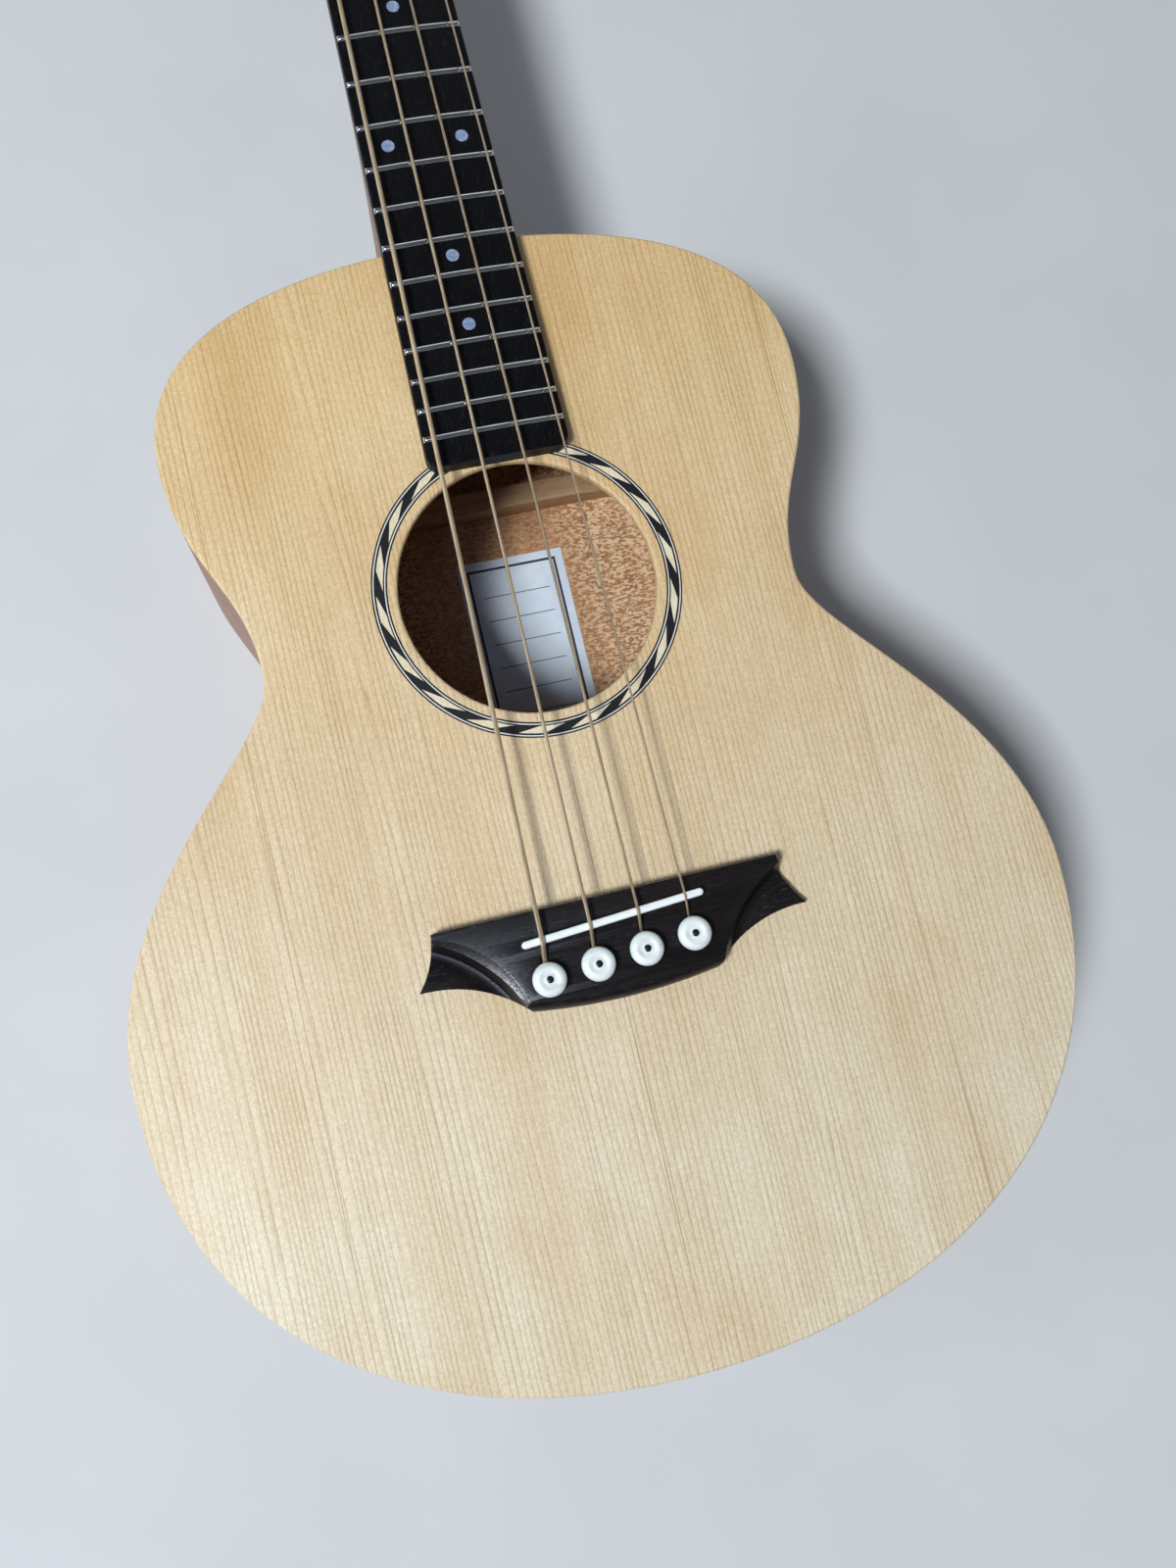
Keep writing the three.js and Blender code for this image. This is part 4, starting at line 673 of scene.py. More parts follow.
# Top braces and bridge plate. Under the top: an X of two scooped bars, a wide bar above the soundhole, two
# tone bars, and a hard plate under the bridge that the string balls pull against.
for name, turn in (("x_brace_bass", 43), ("x_brace_treble", -43), ("upper_brace", 0), ("tone_bar_upper", 24),
                   ("tone_bar_lower", 24), ("bridge_plate", 0)):
    dressed(name, brace_wood(f"{name}_wood", radians(90 + turn)), 0.5 if name == "bridge_plate" else 1.2)


# Neck. One length of nato-type mahogany, cut to a rounded section, with a heel at the body and a headstock
# tilted back by 14 degrees. A tenon goes into the neck block. Satin lacquered.
nut_half, foot_half = 20.5, 27.5
head_frame = shifted(0, 602.663, body_depth) @ Matrix.Rotation(-radians(14), 4, "X")
head_top, head_back = -1.8, -15.8
head_foot, shoulder, head_corner = Vector((nut_half, 0)), Vector((31.5, 27)), Vector((36.5, 145))
head_split = 29
post_places = [(-20.5, 40.0), (-23.5, 104.0), (23.5, 104.0), (20.5, 40.0)]
post_bore, bushing_bore = 4.85, 6.15
heel_length, heel_drop, heel_face = 78.0, 132, body_top + 0.1
shaft_depth, shaft_thinning, shaft_start, shaft_length = 18, 2.5, 346, 251
cap_low, cap_high = 5.0, 7.6
board_start = 176.84
rod_half, rod_height, screw_heights = 3.35, 95.5, (71.8, 38.5)
screw_bore, cut_start, tenon_half = 3.35, 240, 12


def board_half(y):
    return foot_half + (nut_half - foot_half) * (y - board_start) / (scale_length - board_start)


def into_head(y, z):
    """A point of the headstock's middle plane in the part's frame, in millimetres."""
    moved = head_frame @ (Vector((0, y, z)) * MM)
    return moved.y / MM, moved.z / MM


def neck_ring(half_width, top, bottom, squareness):
    """A section between a top point and a bottom point (y, z): round below at 0, square at 1."""
    side = 1 - 0.86 * squareness
    drop = 0.78 - 0.64 * squareness
    ring = []
    for k in range(33):
        turn = pi * k / 32
        out = copysign(abs(cos(turn)) ** side, cos(turn)) if k != 16 else 0.0
        down = sin(turn) ** drop if 0 < k < 32 else 0.0
        y, z = [t + (b - t) * down for t, b in zip(top, bottom)]
        ring.append((half_width * out, y, z))
    return ring


def heel_form():
    """The rings of the heel, before it is cut level."""
    rings = []
    for share in shares(20):
        y = heel_face + heel_length * share
        depth = shaft_depth + heel_drop * (1 - share) ** 2
        rings.append(neck_ring(board_half(y), (y, body_depth), (y, body_depth - depth), 0.0))
    return rings


def mirrored(line):
    """A closed loop from a line that ends in the middle plane, and its mirror image."""
    return [(x, y) for x, y in line] + [(-x, y) for x, y in reversed(line[:-1])]


def post_borers(low, high, *steps):
    """The cutters for the four post holes, from one height to another through steps."""
    return [turned([(0, low), *steps, (0, high)], 32, (x, y, 0)) for x, y in post_places]


bend = Vector((0, 13.5))
head_side = interpolate_bezier(head_foot, head_foot + bend, shoulder - bend, shoulder, 14)
head_side += [Vector((head_corner.x * (1 - t), head_corner.y + 10 * t - 5 * t * t)) for t in shares(12)]
flare = (head_corner.x - shoulder.x) / (head_corner.y - shoulder.y)
upper_head = [(shoulder.x + flare * (head_split - shoulder.y), head_split)]
upper_head += [p for p in head_side if p.y > head_split]
head_block = flat_plate([mirrored(upper_head)], head_back, head_top, 1.2, True, False)
rings = heel_form()
for y in (400, 470, 540, 580):
    under = body_depth - shaft_depth + shaft_thinning * (y - shaft_start) / shaft_length
    rings.append(neck_ring(board_half(y), (y, body_depth), (y - (y - 400) * 0.008, under), 0.0))
rings += [neck_ring(nut_half, (597, body_depth), (594.2, 88.45), 0.05),
          neck_ring(nut_half, (602.2, body_depth), (598.6, 88.3), 0.15)]
for y in (1.2, 5, 9, 13, 17, 21, 25, 30):
    below = [p for p in head_side if p.y <= y][-1]
    above = [p for p in head_side if p.y > y][0]
    width = below.x + (above.x - below.x) * (y - below.y) / (above.y - below.y)
    square = min(1.0, 0.2 + 0.8 * y / 25)
    rings.append(neck_ring(width, into_head(y, head_top), into_head(y, head_back), square))
neck_bm = trimmed(lofted(rings), cap_high + 0.1, 1)
tenon = block((-tenon_half, body_top - 20, 8.1), (tenon_half, heel_face + 1, 100.7))
neck_bm = boolean(neck_bm, "UNION", placed(head_block, head_frame), tenon)
rod_channel = block((-rod_half, cut_start, rod_height - rod_half), (rod_half, 569.35, 110))
bolt_bores = [cylinder(screw_bore, cut_start, 260.4, 24, (0, 0, z), toward_nut) for z in screw_heights]
head_bores = post_borers(-30, 10, (post_bore, -30), (post_bore, -8.3), (bushing_bore, -8.3),
                         (bushing_bore, 10))
head_bores = [placed(bm, head_frame) for bm in head_bores]
neck_wood = pored_wood("neck_mahogany", 0.42, "#9c6c4d", "#7f5138", "#583423")
neck_bm = carved(neck_bm, rod_channel, *bolt_bores, *head_bores)
finished("neck_shaft_and_head", neck_bm, neck_wood, "neck")


# Heel cap, neck screws and truss rod. A thin black plate finishes the heel. Two steel screws hold the
# tenon from inside the body, and a steel rod with a round nut lies in its channel under the fingerboard.
def plain_black(name, roughness):
    return clouded(name, roughness, (3, 9, 3), (0.3, "#121214"), (0.7, "#1d1c1f"), rough=0.5)


def metal(name, pale, dark, roughness):
    """A plated or bare metal whose polish varies a little."""
    material, place = new_material(name, roughness, Metallic=1.0)
    cloud = noise(place, (6, 6, 6), 3.0, 0.6)
    painted(ramp(cloud, (0.3, pale), (0.7, dark)))
    polish = ranged(cloud, 0.0, 1.0, roughness * 0.8, roughness * 1.25)
    tree.links.new(polish, shader.inputs["Roughness"])
    return material


steel = metal("zinc_plated_steel", "#a9adb2", "#8d9197", 0.35)
cap = trimmed(trimmed(lofted(heel_form()), cap_low, 1), cap_high, -1)
finished("heel_cap_plate", cap, plain_black("black_heel_cap", 0.35), "heel_cap")
screw_profile = [(0, 221.1), (4.6, 221.1), (5.6, 221.7), (6, 222.6), (6, 224.1), (3, 224.1), (3, 259.6),
                 (2.4, 260.1), (0, 260.1)]
for number, height in enumerate(screw_heights, 1):
    drive = cylinder(2.5, 218, 223.2, 6, (0, 0, height), toward_nut)
    screw = carved(turned(screw_profile, 32, (0, 0, height), toward_nut), drive)
    finished(f"neck_screw_{number}", screw, steel, f"neck_bolt_{number}")
rod_profile = [(0, 216.4), (3.2, 216.4), (4, 217.2), (4, 225.4), (3, 225.4), (3, 568.4), (2.4, 569), (0, 569)]
rod_drive = cylinder(2.1, 214, 221, 6, (0, 0, rod_height), toward_nut)
rod = carved(turned(rod_profile, 24, (0, 0, rod_height), toward_nut), rod_drive)
finished("truss_rod_and_nut", rod, steel, "truss_rod")


# Fingerboard. Near-black rosewood, tapered and slightly arched, with rounded corners at the soundhole. It
# is glued to the neck and the top, left open-pored and oiled. Twenty nickel-silver frets are pressed in.
board_low, board_high, board_radius = body_depth + 0.03, 111.5, 380.0
board_corner, board_ease = 5.0, 0.45
fret_count, fret_rise, fret_half = 20, 1.1, 1.2
dot_radius = 2.5
dots = [(0, 516.9), (0, 460.5), (0, 410.3), (0, 365.5), (-14.5, 307.4), (14.5, 307.4), (0, 258.8), (0, 230.3)]


def arch(x):
    return board_high - (board_radius - sqrt(board_radius ** 2 - x * x))


def board_ring(y, half_width):
    face = [half_width - board_ease, *[half_width * k / 8 for k in range(7, -8, -1)], board_ease - half_width]
    edge = arch(half_width) - board_ease
    ring = [(half_width, board_low), (half_width, edge), *[(x, arch(x)) for x in face], (-half_width, edge),
            (-half_width, board_low)]
    return [(x, y, z) for x, z in ring]


stations = [(board_start + board_corner * (1 - cos(a)), foot_half - board_corner * (1 - sin(a)))
            for a in shares(6, pi / 2)]
stations += [(y, board_half(y)) for y in (260, 370, 480, 597)]
board = lofted([board_ring(y, w) for y, w in stations])
pockets = [cylinder(dot_radius + 0.02, 110, 115, 40, (x, y, 0)) for x, y in dots]
board_wood = pored_wood("rosewood_board", 0.4, "#0b0b0f", "#070709", "#2a2321", depth=0.1,
                        Specular_IOR_Level=0.13)
finished("fingerboard_plate", carved(board, *pockets), board_wood, "fingerboard")


def fret_ring(x, y, lean):
    """A section of the crowned wire, leaning in by a share of its height."""
    ring = []
    for turn in shares(8, pi):
        up = fret_rise * sin(turn)
        ring.append((x - copysign(lean * up, x), y + fret_half * cos(turn), arch(x) + 0.01 + up))
    return ring


wires = bmesh.new()
for y in (scale_length * 2 ** (-n / 12) for n in range(1, fret_count + 1)):
    reach = board_half(y) - 0.25
    lofted([fret_ring(reach * s, y, 0.75 if abs(s) == 1 else 0.0)
            for s in (-1, -0.955, -0.75, -0.5, -0.25, 0.001, 0.25, 0.5, 0.75, 0.955, 1)], wires)
fret_metal = metal("nickel_silver_frets", "#e6e8e8", "#cfd1d1", 0.11)
finished("fret_wires", wires, fret_metal, "fingerboard", sharp=50)

# Pearl dots: bluish white, cloudy, set flush
pearl = clouded("pearl_dots", 0.22, (2.4, 1.5, 2.0), (0.3, "#6c7893"), (0.55, "#8390ac"), (0.72, "#abb6ca"),
                Coat_Weight=0.4, Coat_Roughness=0.08)
discs = []
for x, y in dots:
    disc = [(0, 110.1), (dot_radius, 110.1), (dot_radius, arch(x) - 0.03),
            (dot_radius - 0.12, arch(x) + 0.015), (0, arch(x) + 0.03)]
    discs.append(turned(disc, 40, (x, y, 0)))
finished("position_dots", gathered(discs), pearl, "fingerboard")


# Nut. A bone block glued against the end of the fingerboard, slotted for each string, its back sloped
# down to the headstock and its ends rounded.
nut_front, nut_back, nut_floor = 597.3, 602.0, 112.8
over_nut = [nut_floor + 0.3 + d / 2 for d in string_sizes]
string_at_nut = [32.8 * (share - 0.5) for share in shares(3)]


def bone_like(name):
    return clouded(name, 0.32, (6, 0.6, 2), (0.3, "#f6f8f7"), (0.72, "#eceeea"), Subsurface_Weight=0.12,
                   Subsurface_Scale=0.002)


nut_profile = [(nut_front, board_low), (nut_back, board_low), (nut_back, 112.4), (601.2, 113.6),
               (599.6, 114.5), (598.2, 114.7), (nut_front, 114.4)]
nut_bm = lofted([[(x, y, z) for y, z in nut_profile] for x in (-nut_half, nut_half)])
long_edges = [e for e in nut_bm.edges
              if abs(e.verts[0].co.x - e.verts[1].co.x) < 1e-6 and min(v.co.z for v in e.verts) > 112 * MM]
ops.bevel(nut_bm, geom=long_edges, offset=0.5 * MM, segments=3, profile=0.5, affect="EDGES", material=-1,
          clamp_overlap=True)
slots = []
for x, d, height in zip(string_at_nut, string_sizes, over_nut):
    r = d / 2 + 0.12
    bed = [(x - r * cos(a), height - r * sin(a)) for a in shares(12, pi)]
    bed += [(x + r, 120), (x - r, 120)]
    slots.append(lofted([[(sx, y, sz) for sx, sz in bed] for y in (590, 610)]))
finished("nut_block", carved(nut_bm, *slots), bone_like("bone_nut"), "nut")


# Headstock veneer. A 1.5 mm leaf of the fingerboard's wood on the headstock's face, bored for the bushings.
# It is cut to the headstock's outline with a slightly rounded edge.
veneer = flat_plate([mirrored(head_side)], -1.78, 0.0, 0.4)
veneer = carved(veneer, *post_borers(-5, 5, (bushing_bore, -5), (bushing_bore, 5)))
finished("head_veneer_leaf", placed(veneer, head_frame), board_wood, "headstock_veneer")


# Bridge. Carved from one near-black rosewood block: hollowed ends, swept wings with a stepped cove round
# each shoulder, a bowed and chamfered lower edge, a routed saddle slot and four bored pin holes.
bridge_low, bridge_high, saddle_top = body_depth + 0.02, 112.8, 116.8
wing_high, wing_groove, shoulder_foot = bridge_low + 3.68, bridge_low + 2.58, bridge_high - 1.5
clear_above = 114.0
bow_radius, bow_run, bow_drop, bow_middle = 224.3, 3.8, 5.5, 29.9
saddle_skew, saddle_middle, saddle_half, saddle_reach = radians(3.8), -1.6, 1.4, 34.15


def bowed(a, b, rise, count):
    """Points from a up to but not b, bowed to the right of the way."""
    a, b = Vector(a), Vector(b)
    way = b - a
    out = Vector((way.y, -way.x)).normalized()
    return [a + way * t + out * 4 * t * (1 - t) * rise for t in shares(count)[:-1]]


def wing_cutters(side):
    """The stepped cove that lowers a wing, and the bevel on the shoulder above."""
    cove = [(0, wing_high), (47.3, wing_high)]
    cove += [(47.3 + 8.0 * k / 10, wing_groove + 1.1 * (1 - sin(pi * k / 10))) for k in range(1, 8)]
    cove += [(54.2, wing_high + 1.2), (55.0, wing_high + 2.6), (55.3, shoulder_foot), (55.8, clear_above),
             (0, clear_above)]
    bevel = [(0, shoulder_foot), (34.8, shoulder_foot), (36.3, bridge_high - 1.42), (38.6, bridge_high - 0.9),
             (40.2, bridge_high - 0.2), (40.8, bridge_high + 0.05), (40.8, clear_above), (0, clear_above)]
    return [turned(cove, 120, (side * 88, -46, 0)), turned(bevel, 96, (side * 74.9, -33.4, 0))]


def saddle_loop(clearance):
    """The saddle's or its slot's outline, slanted, with round ends."""
    half_thick, run = saddle_half + clearance, saddle_reach - saddle_half
    loop = []
    for end in (1, -1):
        for turn in shares(12, pi):
            x, y = end * (run + half_thick * sin(turn)), -end * half_thick * cos(turn)
            loop.append((x * cos(saddle_skew) - y * sin(saddle_skew),
                         saddle_middle + x * sin(saddle_skew) + y * cos(saddle_skew)))
    return loop


corners = [(-64.4, 7.6), (-72.6, -11.8), (-34.7, -27.2), (34.7, -27.2), (72.6, -11.8), (64.4, 7.6)]
bridge_loop = []
for k, (rise, count) in enumerate(((-1.7, 10), (-4.4, 16), (2.7, 20), (-4.4, 16), (-1.7, 10), (0, 1))):
    bridge_loop += bowed(corners[k], corners[(k + 1) % 6], rise, count)
bow_profile = [(bow_radius - bow_run + bow_run * sin(a), bridge_high + 0.01 - bow_drop * (1 - cos(a)))
               for a in shares(10, pi / 2)]
bow_profile = [(bow_radius - bow_run, 125), *bow_profile, (bow_radius + 20, bridge_high - bow_drop),
               (bow_radius + 20, 125), (bow_radius - bow_run, 125)]
lower_bow = turned(bow_profile, 360, (0, bow_radius - bow_middle, 0))
saddle_slot = flat_plate([saddle_loop(0.05)], 108.3, 120, 0.02, False, False)
cutters = [*wing_cutters(-1), *wing_cutters(1), lower_bow, saddle_slot, *pin_borers(90, 125)]
# Sloped notches, where the strings bend over from their pin holes
for (x, y), d in zip(pin_places, string_sizes):
    half_wide, start = d / 2 + notch_side, y + rise_reach + d
    notch = [(start, bridge_high + 1), (start + 3.9, bridge_high + 1), (start + 3.5, bridge_high),
             (start, bridge_high - 2.5)]
    cutters.append(lofted([[(x + side * half_wide, *p) for p in notch] for side in (-1, 1)]))
bridge_wood = pored_wood("rosewood_bridge", 0.3, "#1b1514", "#08080c", "#2a1f1c", pi / 2, depth=0.06,
                         Specular_IOR_Level=0.33)
bridge_bm = carved(flat_plate([bridge_loop], bridge_low, bridge_high, 0.35), *cutters)
finished("bridge_block", bridge_bm, bridge_wood, "bridge", sharp=28)


# Saddle. A strip of bone set in the bridge at a slight slant, its ends and crest rounded.
# It stands 4 mm above the bridge, in the slot that is cut for it.
saddle_bm = flat_plate([saddle_loop(-0.03)], 108.4, saddle_top, 0.8)
finished("saddle_strip", saddle_bm, bone_like("bone_saddle"), "saddle")


# Bridge pins. Turned ivory-white plastic with a grey swirl: a tapered shaft and a wide head with a dished
# ring round a black dot. They are pressed in by hand and wedge the string balls.
pin_under, pin_crown, dot_floor = 115.3, 118.7, 117.2
pin_plastic = clouded("ivory_plastic", 0.3, (7, 2.2, 5), (0.3, "#eaeee9"), (0.58, "#e1e5e0"),
                      (0.75, "#c6cbc7"), rough=0.5, Subsurface_Weight=0.1, Subsurface_Scale=0.002)
dot_black = plain_black("black_dot", 0.3)
pin_profile = [(0, 90.3), (2.3, 90.3), (2.6, 90.8), (3.3, pin_under), (5.7, pin_under), (6.1, 115.7),
               (6.2, 116.3), (6.1, 117.0), (5.7, 117.75), (5.0, 118.35), (4.3, 118.65), (3.9, pin_crown),
               (3.5, 118.65), (3.0, 118.5), (2.6, 118.38), (2.2, 118.34), (1.9, 118.38), (1.6, 118.44),
               (1.32, 118.46), (1.32, dot_floor), (0, dot_floor)]
dot_profile = [(0, 117.25), (1.28, 117.25), (1.28, 118.42), (1.0, 118.52), (0, 118.56)]
for (x, y), name in zip(pin_places, string_names):
    peg, dot = turned(pin_profile, 48, (x, y, 0)), turned(dot_profile, 32, (x, y, 0))
    finished(f"pin_{name}_peg", peg, pin_plastic, f"bridge_pin_{name}")
    finished(f"pin_{name}_dot", dot, dot_black, f"bridge_pin_{name}")


# End pin. Turned black wood, pushed into the tail block; a strap's end hooks over its waist.
# Its profile runs from the end in the tail block out to the button.
end_profile = [(0, -19), (3.5, -19), (3.8, -18.4), (4.5, -0.2), (4.5, 0.05), (6.7, 0.05), (7, 0.4), (7, 1.2),
               (6.4, 2.0), (5.0, 3.4), (4.3, 4.6), (4.2, 5.2), (4.5, 5.9), (5.6, 6.9), (6.6, 7.4), (7, 8.0),
               (6.9, 8.7), (6.2, 9.5), (4.4, 10), (0, 10)]
end_pin = turned(end_profile, 48, (0, body_tail, end_pin_height), toward_tail)
finished("end_pin_peg", end_pin, plain_black("black_end_pin", 0.3), "end_pin")


# Tuning machines. Nickel-plated open gears: a plate with four corner screws and two lugs that carry the
# worm and its oval button, a toothed wheel on the foot of each slotted post, and a bushing in the face.
worm_y, worm_z = 9.82, -21.9
worm_root, worm_crest, worm_pitch, worm_turns, worm_steps = 1.9, 4.0, 2.6, 3, 24
tooth_count, wheel_root, wheel_crest, wheel_height = 16, 5.52, 7.42, 4.5
plate_top, plate_low, lug_foot, lug_radius = -16.0, -17.3, -16.7, 3.8
nickel = metal("nickel_plate", "#c4c7ca", "#a6a9ad", 0.2)
along_x = Matrix.Rotation(pi / 2, 3, "Y")


def rounded_loop(points, radius):
    """A closed loop of points with its corners rounded."""
    done = []
    for k, point in enumerate(points):
        here = Vector(point)
        before = (Vector(points[k - 1]) - here).normalized() * radius
        after = (Vector(points[(k + 1) % len(points)]) - here).normalized() * radius
        done += interpolate_bezier(here + before, here + before * 0.45, here + after * 0.45, here + after, 6)
    return done


def tuner_plate():
    """The plate with its two lugs, bored for the worm's shaft and the post."""
    corners = [(-10.5, -14.1), (10.5, -14.1), (10.5, 23.9), (-10.5, 23.9)]
    sheet = flat_plate([rounded_loop(corners, 3.0)], plate_low, plate_top, 0.25, True, True)
    arc = [(worm_y + lug_radius * cos(a), worm_z + lug_radius * sin(a))
           for a in [pi + turn for turn in shares(16, pi)]]
    side = [(worm_y - lug_radius, lug_foot), *arc, (worm_y + lug_radius, lug_foot)]
    lugs = [lofted([[(end * x, *p) for p in side] for x in (6.2, 7.8)]) for end in (-1, 1)]
    shaft_bore = cylinder(2.25, -15, 15, 32, (0, worm_y, worm_z), along_x)
    return carved(boolean(sheet, "UNION", *lugs), shaft_bore, cylinder(post_bore, -30, 0, 32))


def plate_screws():
    """The four domed screw heads with their crosses."""
    profile = [(0, -19.0), (1.0, -18.95), (1.9, -18.6), (2.3, -18.0), (2.35, -17.32), (0, -17.32)]
    heads = []
    for x, y in ((-7.9, -11.4), (7.9, -11.4), (-7.9, 21.2), (7.9, 21.2)):
        cross = [block((x - a, y - b, -20), (x + a, y + b, -18.4)) for a, b in ((1.3, 0.25), (0.25, 1.3))]
        heads.append(carved(turned(profile, 24, (x, y, 0)), *cross))
    return gathered(heads)


def worm_key(side, out):
    """The worm, its shaft and its button, along X."""
    shaft = turned([(0, -9.2), (1.5, -9.2), (1.9, -8.8), (1.9, -5.95), (2.1, -5.9), (2.1, 5.9), (1.9, 5.95),
                    (1.9, out - 2.5), (3.0, out - 2.5), (3.5, out - 2.0), (3.5, out + 1.6), (2.9, out + 2.5),
                    (0, out + 2.5)], 32)
    thread = bmesh.new()
    start = -worm_pitch * worm_turns / 2
    tooth = ((worm_root, -0.93), (worm_crest, -0.17), (worm_crest, 0.17), (worm_root, 0.93))
    thread.faces.new([thread.verts.new((r * MM, 0, (h + start) * MM)) for r, h in tooth])
    ops.spin(thread, geom=thread.faces[:] + thread.edges[:] + thread.verts[:], cent=(0, 0, 0),
             axis=(0, 0, 1), dvec=(0, 0, worm_pitch / worm_steps * MM), angle=2 * pi * worm_turns,
             steps=worm_steps * worm_turns, use_merge=False, use_duplicate=False)
    button = bmesh.new()
    ops.create_uvsphere(button, u_segments=40, v_segments=24, radius=1.0)
    for vertex in button.verts:
        x, y, z = vertex.co
        narrow = 1 - 0.12 * max(0.0, -x)
        vertex.co = ((out + 10 + 10 * x) * MM, 11 * copysign(abs(y) ** 0.86, y) * narrow * MM,
                     4.5 * copysign(abs(z) ** 0.9, z) * MM)
    whole = boolean(placed(shaft, along_x.to_4x4()), "UNION", faced(button))
    if side < 0:
        placed(whole, Matrix.Rotation(pi, 4, "Z"))
    thread = placed(faced(thread), Matrix.Rotation(-pi / 2, 4, "X") @ along_x.to_4x4())
    return placed(gathered([whole, thread]), shifted(0, worm_y, worm_z))


def post_and_wheel():
    """The slotted post with the toothed wheel on its foot."""
    post = turned([(0, -25.75), (3.0, -25.75), (3.5, -25.4), (3.5, -24.2), (4.5, -24.15), (4.5, 5.5),
                   (4.25, 6.4), (4.12, 8.5), (4.25, 11.5), (4.5, 12.6), (4.5, 17.9), (4.2, 18.7), (3.6, 19),
                   (0, 19)], 40)
    flank = [(wheel_root, 0.155), (6.6, 0.07), (7.3, 0.03)]
    tooth = [(r, -off) for r, off in flank] + [(wheel_crest, 0)] + flank[::-1]
    rings = []
    for share in shares(4):
        rise = wheel_height * (share - 0.5)
        twist = worm_pitch / (2 * pi * 3.2) * rise / 6.62
        middles = [pi / 2 + 2 * pi / tooth_count * (n + 0.5) + twist for n in range(tooth_count)]
        rings.append([(r * cos(middle + off), r * sin(middle + off), worm_z + rise)
                      for middle in middles for r, off in tooth])
    slot = block((-1.5, -9, 14), (1.5, 9, 21))
    return carved(boolean(post, "UNION", lofted(rings)), slot, cylinder(1.6, -27, -25.2, 24))


bushing = [(post_bore, -8), (6.05, -8), (6.05, 0.02), (7.75, 0.02), (7.75, 0.6), (7.5, 1.2), (6.7, 1.75),
           (5.6, 2.1), (5.1, 2.2), (post_bore, 2.1), (post_bore, -8)]
for (x, y), name in zip(post_places, string_names):
    here = head_frame @ shifted(x, y, 0)
    key = worm_key(copysign(1, x), head_corner.x - abs(x) + 6)
    for part, bm, body, solid in (("frame", tuner_plate(), "body", "plate"),
                                  ("screws", plate_screws(), "body", "plate"),
                                  ("worm_and_button", key, f"key_{name}", "key"),
                                  ("post_and_wheel", post_and_wheel(), f"post_{name}", "post"),
                                  ("collar", turned(bushing, 48), "body", "bushing")):
        finished(f"tuner_{name}_{part}", placed(bm, here), nickel, f"tuner_{solid}_{name}", body)


# Strings. Four phosphor-bronze wound strings: a brass ball behind each pin, a bend over the bridge's edge,
# the speaking length over saddle and nut, then close turns down round the post and the end in its slot.
string_lift, ball_height = 0.02, 94.8
string_at_saddle = [53.8 * (share - 0.5) for share in shares(3)]
post_turns, steps_per_turn = [2.3, 2.4, 2.8, 3.3], 48
post_radius, coil_slack, coil_foot, coil_gap, slot_rest = 4.5, 0.3, 3.9, 0.55, 14.2
wrap_swell = (1.0, 0.97, 0.87, 0.97)
string_wraps = [0.78, 0.6, 0.5, 0.42]
modelled_wraps = 2
ball_profile = [(1.0, -2.1), (2.55, -2.1), (2.8, -1.85), (2.8, 1.85), (2.55, 2.1), (1.0, 2.1), (1.0, -2.1)]


def wound_bronze(name, wrap, run):
    """Bronze wire, its wraps drawn where they are too fine to be modelled, with a bump and painted shade in
    the grooves.
    """
    material, place = new_material(name, 0.34, Metallic=1.0)
    along = own_run() if run else split(place)[1]
    bright = ramp(noise(place, (3, 12, 3), 3.0), (0.3, "#f8e0bd"), (0.7, "#e6c9a0"))
    if wrap:
        wave = reckon("ABSOLUTE", reckon("SINE", times(along, pi / wrap)))
        # Painted shade: the grooves between the drawn wraps are painted dark brown, as if shaded, under the
        # bump
        bright = mixed(reckon("POWER", wave, 0.5), "#947459", bright)
        relief(wave, 0.07)
    painted(bright)
    return material


def wire(points, diameter, wrap=None):
    """A round wire through points, with a ridge at each wrap where a pitch is given."""
    points = resampled([Vector(p) for p in points], wrap / 4) if wrap else points
    curve = bpy.data.curves.new("wire", "CURVE")
    curve.dimensions = "3D"
    spline = curve.splines.new("POLY")
    spline.points.add(len(points) - 1)
    for k, (point, target) in enumerate(zip(spline.points, points)):
        point.co = (*(Vector(target) * MM), 1)
        point.radius = wrap_swell[k % 4] if wrap else 1.0
    curve.bevel_depth = diameter / 2 * MM
    curve.bevel_resolution = 3
    curve.use_fill_caps = True
    return faced(meshed(added("wire", curve)), 0.0005)


def winding_path(i, nut_point):
    """The turns round a post, in the headstock's frame, up to the string's end in the slot."""
    d, post = string_sizes[i], Vector(post_places[i])
    side = copysign(1, post.x)
    radius = post_radius + d / 2 + coil_slack
    away = post - nut_point.to_2d()
    start = atan2(away.y, away.x) + pi - side * (pi / 2 - asin(radius / away.length))
    steps = round(post_turns[i] * steps_per_turn)

    def around(turn, height):
        return Vector((post.x + radius * cos(turn), post.y + radius * sin(turn), height))

    turns = [start - side * 2 * pi * k / steps_per_turn for k in range(steps + 1)]
    points = [around(turn, coil_foot + d / 2 + (d + coil_gap) * k / steps_per_turn)
              for k, turn in enumerate(turns)]
    last = turns[-1]
    goal = pi / 2 + pi * round((last - pi / 2) / pi - side * 0.75)
    low, high = points[-1].z, slot_rest + d / 2
    for share in shares(14)[1:]:
        rise = low + (high - low) * (share * share * (3 - 2 * share))
        points.append(around(last + (goal - last) * share, rise))
    inward = Vector((-cos(goal), -sin(goal), 0))
    corner = points[-1]
    points += [corner + inward * reach + Vector((0, 0, rise))
               for reach, rise in ((1.2, 0.35), (3.0, 0.4), (radius + 2.0, 0.2))]
    return points


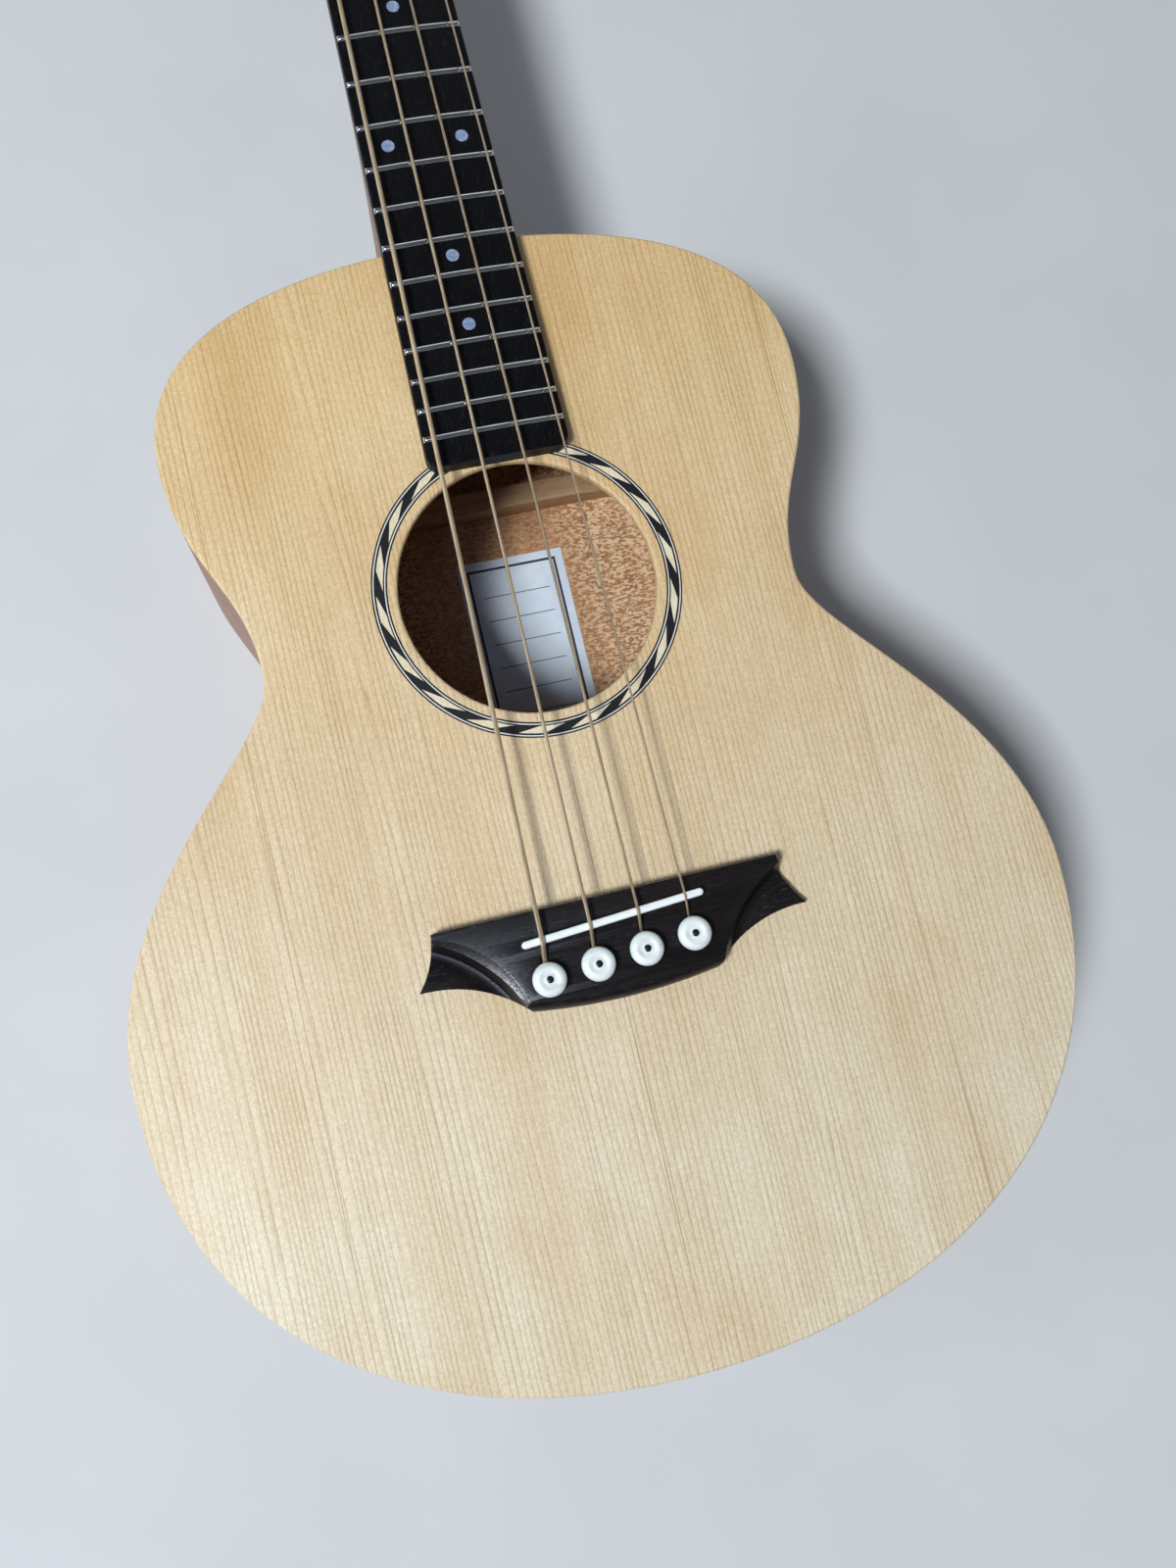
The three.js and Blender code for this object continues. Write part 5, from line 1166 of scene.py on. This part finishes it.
for i, name in enumerate(string_names):
    d, (px, py) = string_sizes[i], pin_places[i]
    drop, sx, nx = py + rise_reach + d / 2, string_at_saddle[i], string_at_nut[i]
    crest, lift = saddle_middle + sx * tan(saddle_skew), d / 2 + string_lift
    nut_leave = head_frame.inverted() @ (Vector((nx, nut_back, over_nut[i])) * MM) / MM
    turns = [head_frame @ (p * MM) / MM for p in winding_path(i, nut_leave)]
    on_saddle = Vector((sx, crest + 0.3, saddle_top + lift))
    off_nut = Vector((nx, 602.2, over_nut[i]))
    span = [(px, drop, ball_height + 2.0), (px, drop, 110.3), (px + (sx - px) * 0.1, drop + 0.35 * d, 111.9),
            (px + (sx - px) * 0.2, drop + 0.95 * d + 0.4, 113.0), (sx, crest - 1.5, saddle_top + lift - 0.35),
            (sx, crest - 0.6, saddle_top + lift - 0.04), on_saddle]
    span += [on_saddle.lerp(Vector((nx, 597.5, over_nut[i])), share) for share in shares(12)[1:]]
    span += [(nx, 601.0, over_nut[i]), off_nut.lerp(turns[0], 0.02), turns[0]]
    ball = turned(ball_profile, 32, (px, py + 6.5, ball_height + 0.2), along_x)
    modelled, drawn = (string_wraps[i], None) if i < modelled_wraps else (None, string_wraps[i])
    finished(f"string_{name}_span", gathered([wire(span, d, modelled), ball]),
             wound_bronze(f"bronze_wrap_{name}", drawn, False), f"string_{name}")
    coil = finished(f"string_{name}_turns", marked(wire(turns, d, modelled), turns),
                    wound_bronze(f"bronze_turns_{name}", drawn, True), f"string_{name}", None)
    foot, head = [head_frame @ (Vector((*post_places[i], z)) * MM) for z in (4.0, 13.5)]
    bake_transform(coil)


# Floor and light. A plain pale studio floor that fades into a pale backdrop, one broad soft lamp from the
# bass side, a little bluish light from a window and above, and weak fill.
backdrop, backdrop_glow, room_glow = linear("#e2e8f0"), 0.64, 0.11
floor_half, fade_start, fade_end = 6.0, 650.0, 2600.0
floor_paper, place = new_material("pale_studio_floor", 0.9)
painted(ramp(noise(place, (90, 90, 90)), (0.3, "#cbcac7"), (0.7, "#cfcecb")))
away = node("ShaderNodeVectorMath", {"operation": "LENGTH"}, in0=place).outputs["Value"]
far = ranged(away, fade_start, fade_end, way="SMOOTHSTEP")
seen_far = times(far, node("ShaderNodeLightPath").outputs["Is Camera Ray"])
glow = node("ShaderNodeEmission", Color=backdrop, Strength=backdrop_glow).outputs["Emission"]
faded = node("ShaderNodeMixShader", in0=seen_far, in1=shader.outputs["BSDF"], in2=glow)
tree.links.new(faded.outputs["Shader"], tree.nodes["Material Output"].inputs["Surface"])
floor_bm = bmesh.new()
ops.create_grid(floor_bm, x_segments=1, y_segments=1, size=floor_half)
floor = added("studio_floor", stored(floor_bm, "studio_floor"))
floor.data.materials.append(floor_paper)


def soft_lamp(name, place, aim, size, watts, tint="#eef7ff"):
    """A square area lamp of cool daylight that looks at a point."""
    data = bpy.data.lights.new(name, "AREA")
    data.shape = "SQUARE"
    data.size = size
    data.energy = watts
    data.color = linear(tint)[:3]
    lamp = added(name, data)
    lamp.location = place
    lamp.rotation_euler = (Vector(aim) - Vector(place)).to_track_quat("-Z", "Y").to_euler()


soft_lamp("key_lamp", (-1.7, -0.65, 3.2), (0, 0.05, 0.1), 0.72, 143)
soft_lamp("window_lamp", (-1.4, 0.1, 0.55), (0, 0.1, 0.1), 0.5, 4.5, "#c4daff")
soft_lamp("sky_lamp", (-0.42, -0.36, 2.0), (-0.1, -0.1, 0.1), 0.5, 1.8, "#a4c6ff")
soft_lamp("fill_lamp", (1.6, -1.2, 1.6), (0, 0.1, 0.1), 1.6, 1.4)
soft_lamp("back_lamp", (0.6, 2.2, 1.4), (0, 0.3, 0.1), 1.4, 5)
world = bpy.data.worlds.new("studio_world")
bpy.context.scene.world = world
world.use_nodes = True
tree = world.node_tree
sky = tree.nodes["Background"]
sky.inputs["Color"].default_value = backdrop
ray = node("ShaderNodeLightPath").outputs
height = split(node("ShaderNodeTexCoord").outputs["Generated"])[2]
mirrored_low = times(ray["Is Glossy Ray"], ranged(height, 0.02, 0.24, 1.0, 0.0))
seen = reckon("MAXIMUM", ray["Is Camera Ray"], mirrored_low)
tree.links.new(ranged(seen, 0.0, 1.0, room_glow, backdrop_glow), sky.inputs["Strength"])
bpy.context.scene.view_settings.view_transform = "Standard"
